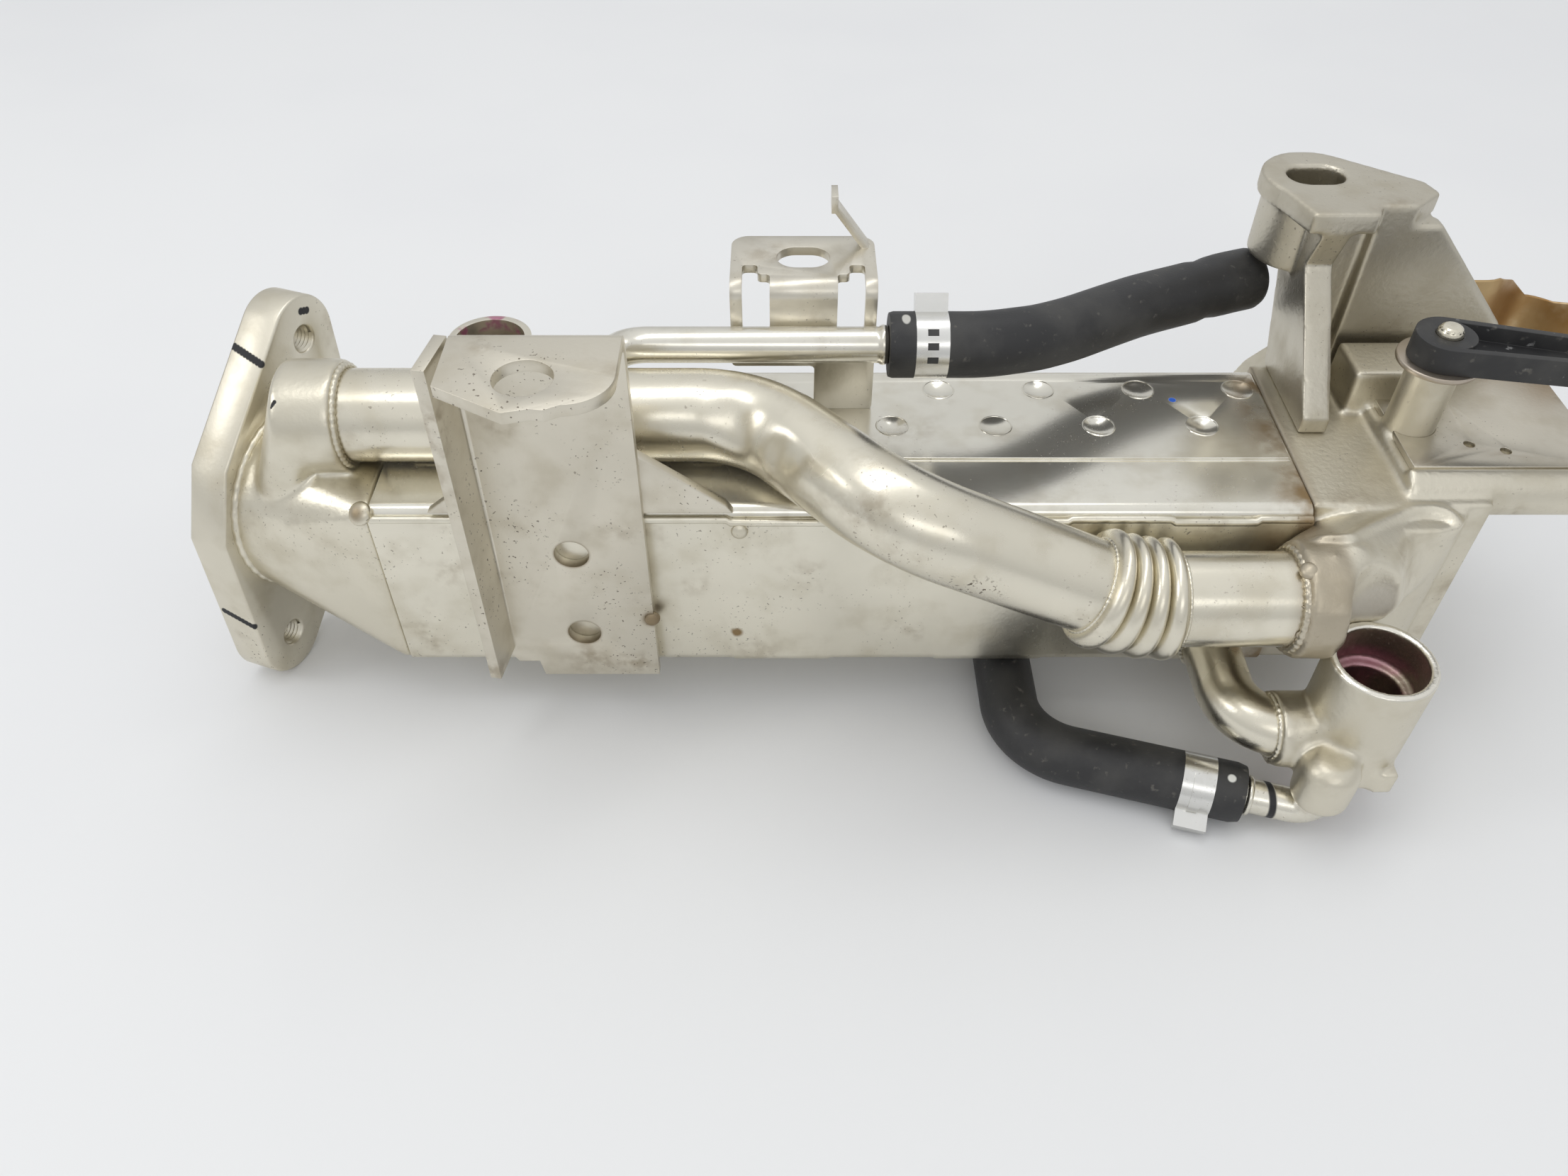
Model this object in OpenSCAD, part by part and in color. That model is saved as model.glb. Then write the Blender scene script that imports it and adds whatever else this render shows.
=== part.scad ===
// Exhaust gas recirculation cooler with a bypass pipe, a bypass flap and its coolant fittings.
// Millimetres. +X runs along the core, +Z is up, and the origin is the middle of the inlet flange's face.

/* [Inlet flange] */
// Thickness of the inlet flange
flange_t = 12; // [9:0.5:15]
// Turn of the inlet flange about the vertical, in degrees
flange_yaw = 20; // [5:1:25]
// Lean of the line through the two threaded holes, in degrees above level
flange_lean = 62; // [50:1:70]
// Distance between the two threaded holes
flange_pitch = 93; // [86:1:100]
// Diameter of the round ends of the flanges
flange_end_d = 26; // [22:1:30]
// Width across the flats at the middle of the flange
flange_waist = 62; // [58:1:68]
// Length of each flat
flange_flat = 22; // [14:1:30]
// Bore of the gas port
gas_port_d = 42; // [36:1:46]
// Bore of the threaded holes
thread_d = 8; // [6:0.5:10]

/* [Inlet cone] */
// Wall of the inlet cone
cone_wall = 3; // [2:0.25:4]
// Diameter of the cone's round end, against the flange
cone_d = 56; // [52:1:60]
// Distance from the port to the rim of the bypass spigot
spigot_x = 40; // [36:1:44]
// Wall of the bypass spigot
spigot_wall = 2.6; // [1.5:0.1:3.5]

/* [Core] */
// Distance from the port to the start of the core
core_x = 47; // [46:1:54]
// Length of the core
core_l = 256; // [240:1:290]
// Width of the core
core_w = 69.6; // [64:0.2:76]
// Height of the core
core_h = 60.7; // [56:0.1:66]
// Distance from the port's middle to the front face of the core
core_reach = 42.6; // [40:0.2:46]
// Height of the core's top above the port's middle
core_top = 24.7; // [22:0.1:28]
// Thickness of the shell sheets
sheet_t = 1.5; // [1:0.1:2]
// Corner radius of the shells
shell_r = 5; // [3:0.5:7]
// Depth to which the lid reaches inside the tray
lid_lap = 14; // [8:1:24]
// Height of the lid's top above the tray's edge
lid_show = 3; // [2:0.5:5]
// Width of the plain band along the front of the lid
band_w = 23; // [18:1:28]
// Height of the dimpled field above the band
field_h = 0.8; // [0.4:0.1:1.2]
// Diameter of the dimples
dimple_d = 9; // [6:0.5:11]
// Depth of the dimples
dimple_h = 1.1; // [0.6:0.1:1.3]
// Spacing of the dimples
dimple_pitch = 30; // [24:1:36]

/* [Tube bundle] */
// Thickness of the header plates
header_t = 2; // [1.5:0.1:3]
// Outside diameter of the gas tubes
tube_d = 8; // [6:0.5:9]
// Wall of the gas tubes
tube_wall = 0.6; // [0.4:0.1:1]
// Columns of gas tubes across the core
tube_cols = 5; // [4:1:6]
// Rows of gas tubes up the core
tube_rows = 4; // [3:1:5]
// Thickness of the baffles
baffle_t = 1.2; // [0.8:0.1:2]

/* [Bypass] */
// Outside diameter of the bypass pipe
pipe_d = 25.6; // [22:0.2:27]
// Wall of the bypass pipe
pipe_wall = 1.2; // [0.8:0.1:1.6]
// Distance from the bypass pipe's first run back to the core's front face
bypass_in = 25.6; // [24:0.2:28]
// Gap between the bypass pipe's lower run and the core's front face
bypass_out = 5.6; // [4:0.2:8]
// Height of the lower run above the port's middle
run_z = 11; // [6:0.5:14]
// Bend radius of the bypass pipe
pipe_bend = 36; // [32:1:40]
// Length of the bellows
bellows_l = 24; // [20:1:28]
// Number of convolutions
bellows_n = 4; // [3:1:5]
// Height of the convolutions above the pipe
bellows_h = 3.6; // [2:0.2:4.4]

/* [Brackets] */
// Thickness of the bracket sheets
bracket_t = 3.2; // [2:0.1:4]
// Distance from the core's start to the front bracket's folded edge
front_x = 30.5; // [28:0.5:40]
// Width of the front bracket's plate
front_w = 44.5; // [40:0.5:50]
// Height of the front bracket's tab above the port's middle
tab_z = 83; // [74:1:90]
// Reach of the tab in front of the plate
tab_reach = 30; // [26:0.5:36]
// Hole in the tab
tab_hole_d = 14; // [10:0.5:16]
// Reach of the splayed flange of the front bracket
splay_l = 13; // [8:0.5:16]
// Splay of that flange from square, in degrees
splay = 9; // [4:1:20]
// Weld holes in the front bracket
weld_hole_d = 9.5; // [6:0.5:12]
// Distance from the core's start to the middle of the rear bracket
rear_x = 118; // [112:1:126]
// Width of the rear bracket
rear_w = 40.6; // [36:0.2:44]
// Height of the rear bracket's plate above the lid
rear_h = 41; // [38:1:48]
// Depth of the rear bracket's plate
rear_depth = 27; // [24:0.5:32]
// Width of the oval hole in the rear bracket
rear_hole_d = 11; // [8:0.5:13]
// Length of the oval hole's straight middle
rear_slot = 4; // [1:0.5:6]

/* [Coolant side] */
// Outside diameter of the small coolant pipes
water_d = 10; // [8:0.2:11]
// Wall of the small coolant pipes
water_wall = 1; // [0.6:0.1:1.4]
// Outside diameter of the free coolant hose
hose_d = 18.2; // [16:0.2:20]
// Distance from the core's end back to the lower hose's nipple
nipple_in = 75; // [60:1:80]
// Distance from the core's front face back to the nipple
nipple_back = 50; // [44:1:56]
// Length of the nipple under the core
nipple_l = 46; // [40:1:50]
// Slant of the lower hose towards the front, in degrees
lower_slant = 16; // [10:1:20]
// Outside diameter of the lower hose
lower_hose_d = 17.4; // [15:0.2:19]
// Thickness of the hose clamps
clamp_t = 0.5; // [0.3:0.1:0.8]
// Width of the hose clamps
clamp_w = 9; // [7:0.5:12]
// Height of the hose clamps' folded ears above the hose
clamp_ear = 5.5; // [3:0.5:7]
// Lean of the hose clamp's ear towards the back, in degrees
ear_lean = 30; // [0:5:45]
// Turn of the lower clamp's ear down to the front, in degrees
lower_ear_turn = 115; // [60:5:120]
// Outside diameter of the outlet cup on the lid
out_cup_d = 24; // [20:0.5:26]
// Height of the outlet cup above the lid
out_cup_h = 20; // [17:0.5:26]
// Wall of the coolant cups
cup_wall = 2; // [1.5:0.1:3]
// Outside diameter of the inlet cup
in_cup_d = 28.4; // [25:0.2:30]
// Height of the inlet cup's rim above the port's middle
in_cup_z = 1.5; // [0:0.5:5]
// Outside diameter of the tube from the inlet cup to the core
elbow_d = 16.5; // [14:0.5:18]
// Wall of that tube
elbow_wall = 1.2; // [0.8:0.1:2]

/* [Valve housing] */
// Wall of the housing
house_wall = 5; // [4:0.5:6]
// Distance from the core's end to the valve shaft
shaft_dx = 35; // [33:0.5:40]
// Distance of the valve shaft in front of the port's middle
shaft_y = 9; // [7:0.5:11]
// Length of the arm past the shaft
arm_l = 50; // [44:1:64]
// Thickness of the arm
arm_t = 15; // [12:0.5:16]
// Height of the arm's top above the core's top
arm_up = 5.3; // [4:0.1:8]
// Diameter of the valve shaft
shaft_d = 7; // [5:0.5:8]
// Wall of the shaft bushes
bush_t = 1.75; // [1.25:0.25:2.5]
// Height of the shaft column above the arm's top
column_h = 20; // [16:0.5:26]
// Bore of the gas outlet
outlet_d = 34; // [28:1:36]
// Thickness of the outlet flange
outlet_t = 10; // [8:0.5:13]

/* [Valve] */
// Length of the lever from the shaft to its eye
lever_l = 62; // [50:1:70]
// Height of the lever
lever_h = 7.5; // [5:0.5:9]
// Turn of the lever at rest, in degrees towards the front
lever_turn = 13; // [0:1:25]
// Hole in the lever's eye
eye_d = 5; // [3:0.5:6]
// Diameter of the seal disc under the lever
disc_d = 22; // [18:0.5:24]
// Length of the flap from the shaft
flap_l = 22; // [16:0.5:24]
// Thickness of the flap
flap_t = 2.5; // [1.5:0.25:3]

/* [Tower] */
// Height of the tower's top above the core's top
tower_h = 55.3; // [48:0.5:62]
// Thickness of the tower's plate
tower_plate_t = 6; // [4:0.5:8]
// Height of the tower's round post
post_h = 24.5; // [20:0.5:30]
// Thickness of the tower's ribs
tower_rib_t = 8; // [6:0.5:9]
// Width of the slotted hole in the tower's plate
tower_hole_d = 11; // [8:0.5:12]
// Length of the slot's straight middle
tower_slot = 5.5; // [2:0.5:8]
// Thickness of the heat shield
shield_t = 1.2; // [0.8:0.1:2]

/* [Hidden] */
$fn = 48;
// Gap at a brazed or welded joint, and radial running clearance of the shaft
fit = 0.05;
// Gap at the two welds of the bellows
seam = 0.15;
// Overlap of a cutting shape past the face that it cuts
cut = 1;

// Faces of the core
core_front = -core_reach;
core_back = core_front + core_w;
core_bottom = core_top - core_h;
core_end = core_x + core_l;
tray_top = core_top - lid_show;
lid_low = tray_top - lid_lap;
field_top = core_top + field_h;

// Lowest point of the flanges, which is where the cooler stands
floor_z = -flange_pitch / 2 * sin(flange_lean) - flange_end_d / 2;

// Tube bundle inside the lid and the tray
bundle_inset = 2 * sheet_t + 2 * fit;
bundle_front = core_front + bundle_inset;
bundle_back = core_back - bundle_inset;
bundle_low = core_bottom + sheet_t + fit;
bundle_high = core_top - sheet_t - fit;
tube_dy = (bundle_back - bundle_front) / tube_cols;
tube_dz = (bundle_high - bundle_low) / tube_rows;
tube_grid = [for (c = [0 : tube_cols - 1], r = [0 : tube_rows - 1])
    [bundle_front + (c + 0.5) * tube_dy, bundle_low + (r + 0.5) * tube_dz]];

// Route of the bypass pipe: over the lid, across its front edge, down beside the front face
spigot_grip = 10;
bypass_y = core_front + bypass_in;
bypass_z = field_top + pipe_d / 2 + 0.2;
run_y = core_front - bypass_out - pipe_d / 2;
bypass_start = [spigot_x - spigot_grip, bypass_y, bypass_z];
bypass_turn = [core_x + 104, bypass_y, bypass_z];
bypass_drop = [core_x + 142, run_y + 3, bypass_z - 1.5];
bypass_knee = [core_end - 52, run_y, run_z];
bypass_fall = unit(bypass_knee - bypass_drop);
bellows_start = bypass_knee - bypass_fall * bellows_l / 2;
bellows_end = bypass_knee + [bellows_l / 2, 0, 0];
tail_end = [core_end - 2, run_y, run_z];

// Valve shaft and the housing round it
shaft_x = core_end + shaft_dx;
shaft = [shaft_x, -shaft_y];
house_end = shaft_x + 14;
house_top = core_top + 0.3;
house_front = core_front + 3;
arm_top = core_top + arm_up;
arm_end = shaft_x + arm_l;
arm_front = core_front + 6;
arm_mid = arm_front + arm_t / 2;
arm_back = core_back + 3;
plate_t = 2;
bush_d = shaft_d + 2 * bush_t;
column_d = bush_d + 3.5;
column_top = arm_top + column_h;
shaft_low = core_bottom - 4;
boss_low = core_bottom - 6;
chamber_low = core_bottom + house_wall;
chamber_high = core_top - house_wall;
bulge_d = pipe_d + 6;
bulge_end = [shaft_x - 7, house_front + 8, run_z - 4];
disc_t = 1.5;
disc_z = column_top + 0.4;
lever_z = disc_z + disc_t;
shaft_top = lever_z + lever_h + 2.5;

// Gas outlet at the back of the housing
outlet_x = core_end + 23;
outlet_z = core_bottom + core_h / 2;
outlet_face = core_back + 17;
outlet_pitch = 2 * (outlet_z - floor_z - flange_end_d / 2) / sin(flange_lean);
outlet_waist = outlet_d + 16;

// Coolant side
hose_bore_d = water_d + 0.8;
low_z = core_bottom - lower_hose_d / 2 - 0.16;
nipple_x = core_end - nipple_in;
nipple_y = core_front + nipple_back;
lower_end = [core_end - 13, run_y - 23, low_z];
lower_way = [cos(lower_slant), -sin(lower_slant), 0];
lower_turn = lower_end - lower_way * (lower_end.x - nipple_x) / lower_way.x;
in_cup = [core_end + 15, run_y - 13];
in_cup_low = core_bottom - 2;
collar_z = core_bottom + elbow_d / 2;
collar_d = elbow_d + 5;
elbow_x = core_end - 16;
boss = [core_end + 5, lower_end.y - (core_end + 5 - lower_end.x) * tan(lower_slant)];
boss_d = water_d + 6;
out_cup = [core_x + 28, bypass_y + pipe_d / 2 + out_cup_d / 2 + 2];
out_cup_top = field_top + out_cup_h;
rear_mid = core_x + rear_x;
rear_top = field_top + rear_h;
web_front = bypass_y + 20.5;
water_y = web_front - water_d / 2;
water_z = field_top + 25.5;
water_end = rear_mid + rear_w / 2 + 1.7;
hose_grip = 22;

// Points along the free coolant hose, from the pipe's bead to its open end
hose_route = [[188.5, -1.5, 51], [196, -1.5, 51], [204, -1.5, 51], [212, -1.5, 51], [218, -0.8, 51],
    [224, 0.8, 50.8], [230, 3.1, 50.2], [236, 6.3, 49.6], [242, 10, 49], [249, 14.9, 48.3], [256, 19.8, 47.6],
    [263, 24.5, 46.9], [270, 28.5, 46.3], [278, 32.3, 46], [286, 35.9, 46], [294, 39.5, 45.9],
    [302, 43, 45.5]];

function unit(v) = v / norm(v);

// Distance from a corner of a route to the start of its bend
function tangent(a, p, c, r) = r * tan(acos(unit(p - a) * unit(c - p)) / 2);

// Round bar between two points
module rod(a, b, d) {
    v = b - a;
    translate(a) rotate([0, acos(v.z / norm(v)), atan2(v.y, v.x)]) cylinder(d = d, h = norm(v));
}

// Bend of a round bar at corner p, on the way from a to c
module bend(a, p, c, r, d) {
    u = unit(p - a);
    v = unit(c - p);
    n = unit(cross(u, v));
    start = p - u * tangent(a, p, c, r);
    out = cross(u, n);
    mid = start - out * r;
    multmatrix([[out.x, u.x, n.x, mid.x], [out.y, u.y, n.y, mid.y], [out.z, u.z, n.z, mid.z], [0, 0, 0, 1]])
        rotate_extrude(angle = acos(u * v)) translate([r, 0]) circle(d = d);
}

// Round bar along a route, with a bend at each inner corner
module bar(route, r, d) {
    last = len(route) - 1;
    for (i = [0 : last - 1]) {
        u = unit(route[i + 1] - route[i]);
        head = i == 0 ? 0 : tangent(route[i - 1], route[i], route[i + 1], r);
        tail = i == last - 1 ? 0 : tangent(route[i], route[i + 1], route[i + 2], r);
        rod(route[i] + u * head, route[i + 1] - u * tail, d);
    }
    for (i = [1 : 1 : last - 1]) bend(route[i - 1], route[i], route[i + 1], r, d);
}

// Tube along a route
module tube(route, r, d, wall) {
    last = len(route) - 1;
    first_u = unit(route[1] - route[0]);
    last_u = unit(route[last] - route[last - 1]);
    bore = [for (i = [0 : last]) route[i] + (i == 0 ? -first_u : i == last ? last_u : [0, 0, 0]) * cut];
    difference() {
        bar(route, r, d);
        bar(bore, r, d - 2 * wall);
    }
}

// Points along a route, with an arc at each inner corner
function arc_points(a, p, c, r, step) =
    let (
        u = unit(p - a),
        v = unit(c - p),
        angle = acos(u * v),
        out = cross(u, unit(cross(u, v))),
        mid = p - u * tangent(a, p, c, r) - out * r,
        count = ceil(angle / step)
    ) [for (i = [0 : count]) let (t = angle * i / count) mid + r * (out * cos(t) + u * sin(t))];
function smooth(route, r, step) =
    let (last = len(route) - 1)
    [
        route[0],
        for (i = [1 : last - 1]) each arc_points(route[i - 1], route[i], route[i + 1], r, step),
        route[last]
    ];

// Ring of points square to a route at point i
function ring(route, i, r, sides) =
    let (
        last = len(route) - 1,
        u = unit(route[min(i + 1, last)] - route[max(i - 1, 0)]),
        side = unit(cross(u, [0, 0, 1])),
        up = cross(side, u)
    ) [for (k = [0 : sides - 1]) route[i] + r * (cos(360 * k / sides) * side + sin(360 * k / sides) * up)];

// Tube swept along a route of points, with its own outer and inner radius at each point
module swept(route, outer, inner, sides) {
    count = len(route);
    inside = count * sides;
    points = concat(
        [for (i = [0 : count - 1]) each ring(route, i, outer[i], sides)],
        [for (i = [0 : count - 1]) each ring(route, i, inner[i], sides)]);
    walls = [for (i = [0 : count - 2], k = [0 : sides - 1])
        let (a = i * sides + k, b = i * sides + (k + 1) % sides)
        each [
            [a, b, b + sides, a + sides],
            [inside + a, inside + a + sides, inside + b + sides, inside + b]
        ]];
    ends = [for (k = [0 : sides - 1])
        let (j = (k + 1) % sides, far = (count - 1) * sides)
        each [[k, inside + k, inside + j, j], [far + k, far + j, inside + far + j, inside + far + k]]];
    polyhedron(points, concat(walls, ends));
}

// Tube of one diameter with more than one bend
module swept_tube(route, r, d, wall, sides) {
    points = smooth(route, r, 6);
    swept(points, [for (p = points) d / 2], [for (p = points) d / 2 - wall], sides);
}

// Rectangle with round corners
module soft_rect(low, high, r) {
    translate([low.x + r, low.y]) square([high.x - low.x - 2 * r, high.y - low.y]);
    translate([low.x, low.y + r]) square([high.x - low.x, high.y - low.y - 2 * r]);
    for (x = [low.x + r, high.x - r], y = [low.y + r, high.y - r]) translate([x, y]) circle(r);
}

// Slot with round ends, along x
module slot(length, d) {
    square([length, d], center = true);
    for (x = [-length / 2, length / 2]) translate([x, 0]) circle(d = d);
}

// Stands an outline drawn in y and z up, and pulls it along x from start
module along_x(start, length) {
    translate([start, 0, 0]) rotate([90, 0, 90]) linear_extrude(length) children();
}

// Stands an outline drawn in x and z up, and pulls it along y from front to back
module along_y(front, depth) {
    translate([0, front + depth, 0]) rotate([90, 0, 0]) linear_extrude(depth) children();
}

// Outline of a flange with two round ends and straight sides that touch them
module two_bolt_outline(pitch, end_d, waist, flat) {
    bolt = [pitch / 2, 0];
    corner = [flat / 2, waist / 2];
    to_corner = corner - bolt;
    angle = atan2(to_corner.y, to_corner.x) - acos(end_d / 2 / norm(to_corner));
    touch = bolt + end_d / 2 * [cos(angle), sin(angle)];
    quarter = [touch, corner];
    polygon([
        quarter[0], quarter[1], [-quarter[1].x, quarter[1].y], [-quarter[0].x, quarter[0].y],
        -quarter[0], -quarter[1], [quarter[1].x, -quarter[1].y], [quarter[0].x, -quarter[0].y]]);
    for (x = [-pitch / 2, pitch / 2]) translate([x, 0]) circle(d = end_d);
}

// Flange with a gas port and two threaded holes
module two_bolt_flange(pitch, waist, flat, port) {
    difference() {
        two_bolt_outline(pitch, flange_end_d, waist, flat);
        circle(d = port);
        for (x = [-pitch / 2, pitch / 2]) translate([x, 0]) circle(d = thread_d);
    }
}

module inlet_flange() {
    color("#cbc3ac")
    rotate([0, 0, -flange_yaw]) along_x(0, flange_t)
        rotate(flange_lean) two_bolt_flange(flange_pitch, flange_waist, flange_flat, gas_port_d);
}

// Solid shape of the inlet cone, drawn in by inset from its outside and reaching past both ends by past
module cone_form(inset, past) {
    slab_r = shell_r + 1 - inset / 2;
    hull() {
        rotate([0, 0, -flange_yaw]) translate([flange_t - past, 0, 0])
            rotate([0, 90, 0]) cylinder(d = cone_d - 2 * inset, h = 3, $fn = 32);
        along_x(core_x - 2, 2 + past)
            soft_rect([core_front + inset, core_bottom + inset], [core_back - inset, core_top - inset],
                slab_r, $fn = 32);
    }
    hull() {
        rotate([0, 0, -flange_yaw]) translate([flange_t + cone_wall - past, 0, 0])
            rotate([0, 90, 0]) cylinder(d = cone_d - 10 - 2 * inset, h = 3, $fn = 32);
        translate([spigot_x - spigot_grip - 6 + inset, bypass_y, bypass_z]) rotate([0, 90, 0])
            cylinder(d = pipe_d + 2 * spigot_wall - 2 * inset, h = 5 - inset, $fn = 32);
    }
}

module inlet_cone() {
    color("#cdc5ae")
    difference() {
        union() {
            cone_form(0, 0);
            translate([spigot_x - spigot_grip - 4, bypass_y, bypass_z]) rotate([0, 90, 0])
                cylinder(d = pipe_d + 2 * spigot_wall, h = spigot_grip + 4);
        }
        cone_form(cone_wall, cut);
        translate([spigot_x - spigot_grip, bypass_y, bypass_z]) rotate([0, 90, 0])
            cylinder(d = pipe_d + 2 * fit, h = spigot_grip + cut);
        translate([spigot_x - spigot_grip - 6 + cone_wall, bypass_y, bypass_z]) rotate([0, 90, 0])
            cylinder(d = pipe_d - 2 * pipe_wall, h = spigot_grip);
        translate([core_x, core_front - cut, core_bottom - cut])
            cube([cut * 2, core_w + 2 * cut, core_h + 2 * cut]);
        rotate([0, 0, -flange_yaw]) translate([flange_t - 2 * cut, -core_w, -core_h])
            cube([2 * cut, 2 * core_w, 2 * core_h]);
    }
}

module core_tray() {
    color("#d2cab4")
    difference() {
        along_x(core_x, core_l) difference() {
            soft_rect([core_front, core_bottom], [core_back, core_top + shell_r], shell_r);
            soft_rect([core_front + sheet_t, core_bottom + sheet_t],
                [core_back - sheet_t, core_top + 2 * shell_r], shell_r - sheet_t);
            translate([core_front - cut, tray_top]) square([core_w + 2 * cut, core_h]);
        }
        translate([nipple_x, nipple_y, core_bottom - cut])
            cylinder(d = water_d + 2 * fit, h = sheet_t + 2 * cut);
        rod([elbow_x, core_front - cut, collar_z], [elbow_x, core_front + sheet_t + cut, collar_z],
            elbow_d - 2 * elbow_wall);
    }
}

// Dish pressed into the lid
module dimple(x, y) {
    r = (dimple_d * dimple_d / 4 + dimple_h * dimple_h) / 2 / dimple_h;
    translate([x, y, field_top + r - dimple_h]) sphere(r);
}

module core_lid() {
    side = sheet_t + fit;
    r = shell_r - sheet_t;
    field_y = core_front + band_w;
    field_x = core_x + 8;
    row_y = (core_back - field_y) / 3;
    first = core_end - 7 - 4 * dimple_pitch;
    color("#d4cdb8")
    difference() {
        union() {
            along_x(core_x, core_l) difference() {
                soft_rect([core_front + side, core_bottom], [core_back - side, core_top], r);
                soft_rect([core_front + side + sheet_t, core_bottom - core_h],
                    [core_back - side - sheet_t, core_top - sheet_t], r - sheet_t);
                translate([core_front, lid_low - core_h]) square([core_w, core_h]);
            }
            translate([field_x, field_y, core_top - sheet_t / 2])
                cube([core_end - field_x - 1, core_back - field_y - shell_r - 1, sheet_t / 2 + field_h]);
        }
        translate([out_cup.x, out_cup.y, core_top - core_h / 2])
            cylinder(d = out_cup_d - 4 * cup_wall, h = core_h);
        for (i = [0 : 3]) {
            dimple(first + i * dimple_pitch + dimple_pitch / 2, field_y + 0.95 * row_y);
            dimple(first + (i + 1) * dimple_pitch, field_y + 2.1 * row_y);
        }
    }
}

// Outline that fills the core inside its shells, with a hole for each tube
module header_outline() {
    difference() {
        union() {
            soft_rect([core_front + sheet_t + fit, bundle_low], [core_back - sheet_t - fit, lid_low - fit],
                shell_r - sheet_t);
            soft_rect([bundle_front, bundle_low], [bundle_back, bundle_high], shell_r - 2 * sheet_t);
        }
        for (p = tube_grid) translate(p) circle(d = tube_d + 2 * fit);
    }
}

module inlet_header() {
    color("#b9b29c") along_x(core_x + 4, header_t) header_outline();
}

module outlet_header() {
    color("#b9b29c") along_x(core_end - 4 - header_t, header_t) header_outline();
}

module gas_tubes() {
    color("#b5b0a2")
    for (p = tube_grid) along_x(core_x + 3, core_l - 6) translate(p) difference() {
        circle(d = tube_d);
        circle(d = tube_d - 2 * tube_wall);
    }
}

// Plates that carry the tubes at the thirds of the core and turn the coolant up and down
module tube_baffles() {
    room = 8;
    color("#aaa492")
    for (i = [1, 2]) along_x(core_x + core_l * i / 3, baffle_t) difference() {
        header_outline();
        translate([core_front, i == 1 ? bundle_high - room : bundle_low - room]) square([core_w, 2 * room]);
    }
}

module bypass_pipe() {
    color("#cfc7ac")
    swept_tube([bypass_start, bypass_turn, bypass_drop, bellows_start - bypass_fall * seam],
        pipe_bend, pipe_d, pipe_wall, 32);
}

// Height of the convolutions at t, from 0 at one end to 1 at the other
function wave(t) = bellows_h * (1 - cos(360 * bellows_n * t)) / 2;

module bypass_bellows() {
    steps = 8 * bellows_n;
    route = [for (i = [0 : steps]) let (t = i / steps)
        (1 - t) * (1 - t) * bellows_start + 2 * t * (1 - t) * bypass_knee + t * t * bellows_end];
    outer = [for (i = [0 : steps]) pipe_d / 2 + wave(i / steps)];
    color("#cbc2a4") swept(route, outer, [for (r = outer) r - pipe_wall / 2], 32);
}

module bypass_tail() {
    color("#cfc7ac") tube([bellows_end + [seam, 0, 0], tail_end], pipe_bend, pipe_d, pipe_wall);
}

module front_bracket() {
    left = core_x + front_x;
    right = left + front_w;
    face = core_front - bracket_t;
    low = core_bottom - 1;
    step = 6;
    wing_low = low + step + 7;
    wing_root = left + bracket_t / 2;
    hole_in = 20.625;
    hole_x = right - hole_in;
    tab_left = left + 4;
    tab_y = face - tab_reach;
    corner = 11;
    color("#cfc8b2") {
        difference() {
            along_y(face, bracket_t) polygon([[left, low + step + 5], [left + 3, low + step],
                [left + 9, low + step], [left + 10, low], [right, low], [right, tab_z],
                [tab_left, tab_z], [tab_left, tab_z - step], [left, tab_z - step]]);
            for (z = [core_top - 12, core_bottom + 17.5])
                translate([hole_x, face - cut, z]) rotate([-90, 0, 0])
                    cylinder(d = weld_hole_d, h = bracket_t + 2 * cut);
        }
        translate([wing_root, face + bracket_t / 2, wing_low]) rotate([0, 0, -90 - splay])
            translate([0, -bracket_t / 2, 0])
                cube([splay_l + bracket_t / 2, bracket_t, tab_z - 1 - wing_low]);
        difference() {
            translate([0, 0, tab_z - bracket_t]) linear_extrude(bracket_t) {
                polygon([[tab_left, face - 20], [tab_left + 17, tab_y], [tab_left + 23, tab_y + 1.5],
                    [tab_left + 26, tab_y + 1], [right - corner, tab_y + 3],
                    [right - corner, tab_y + 3 + corner], [right, tab_y + 3 + corner],
                    [right, face + bracket_t], [tab_left, face + bracket_t]]);
                translate([right - corner, tab_y + 3 + corner]) circle(corner);
            }
            translate([hole_x, face - 17, tab_z - bracket_t - cut])
                cylinder(d = tab_hole_d, h = bracket_t + 2 * cut);
        }
    }
}

module bracket_stiffener() {
    left = core_x + front_x - 14;
    right = core_x + front_x + front_w + 24;
    color("#c9c1aa")
    along_y(core_front, bracket_t) polygon([[left, core_top + fit], [right, core_top + fit],
        [right - 2, core_top + 3], [right - 30, core_top + 24], [left + 30, core_top + 24]]);
}

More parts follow.
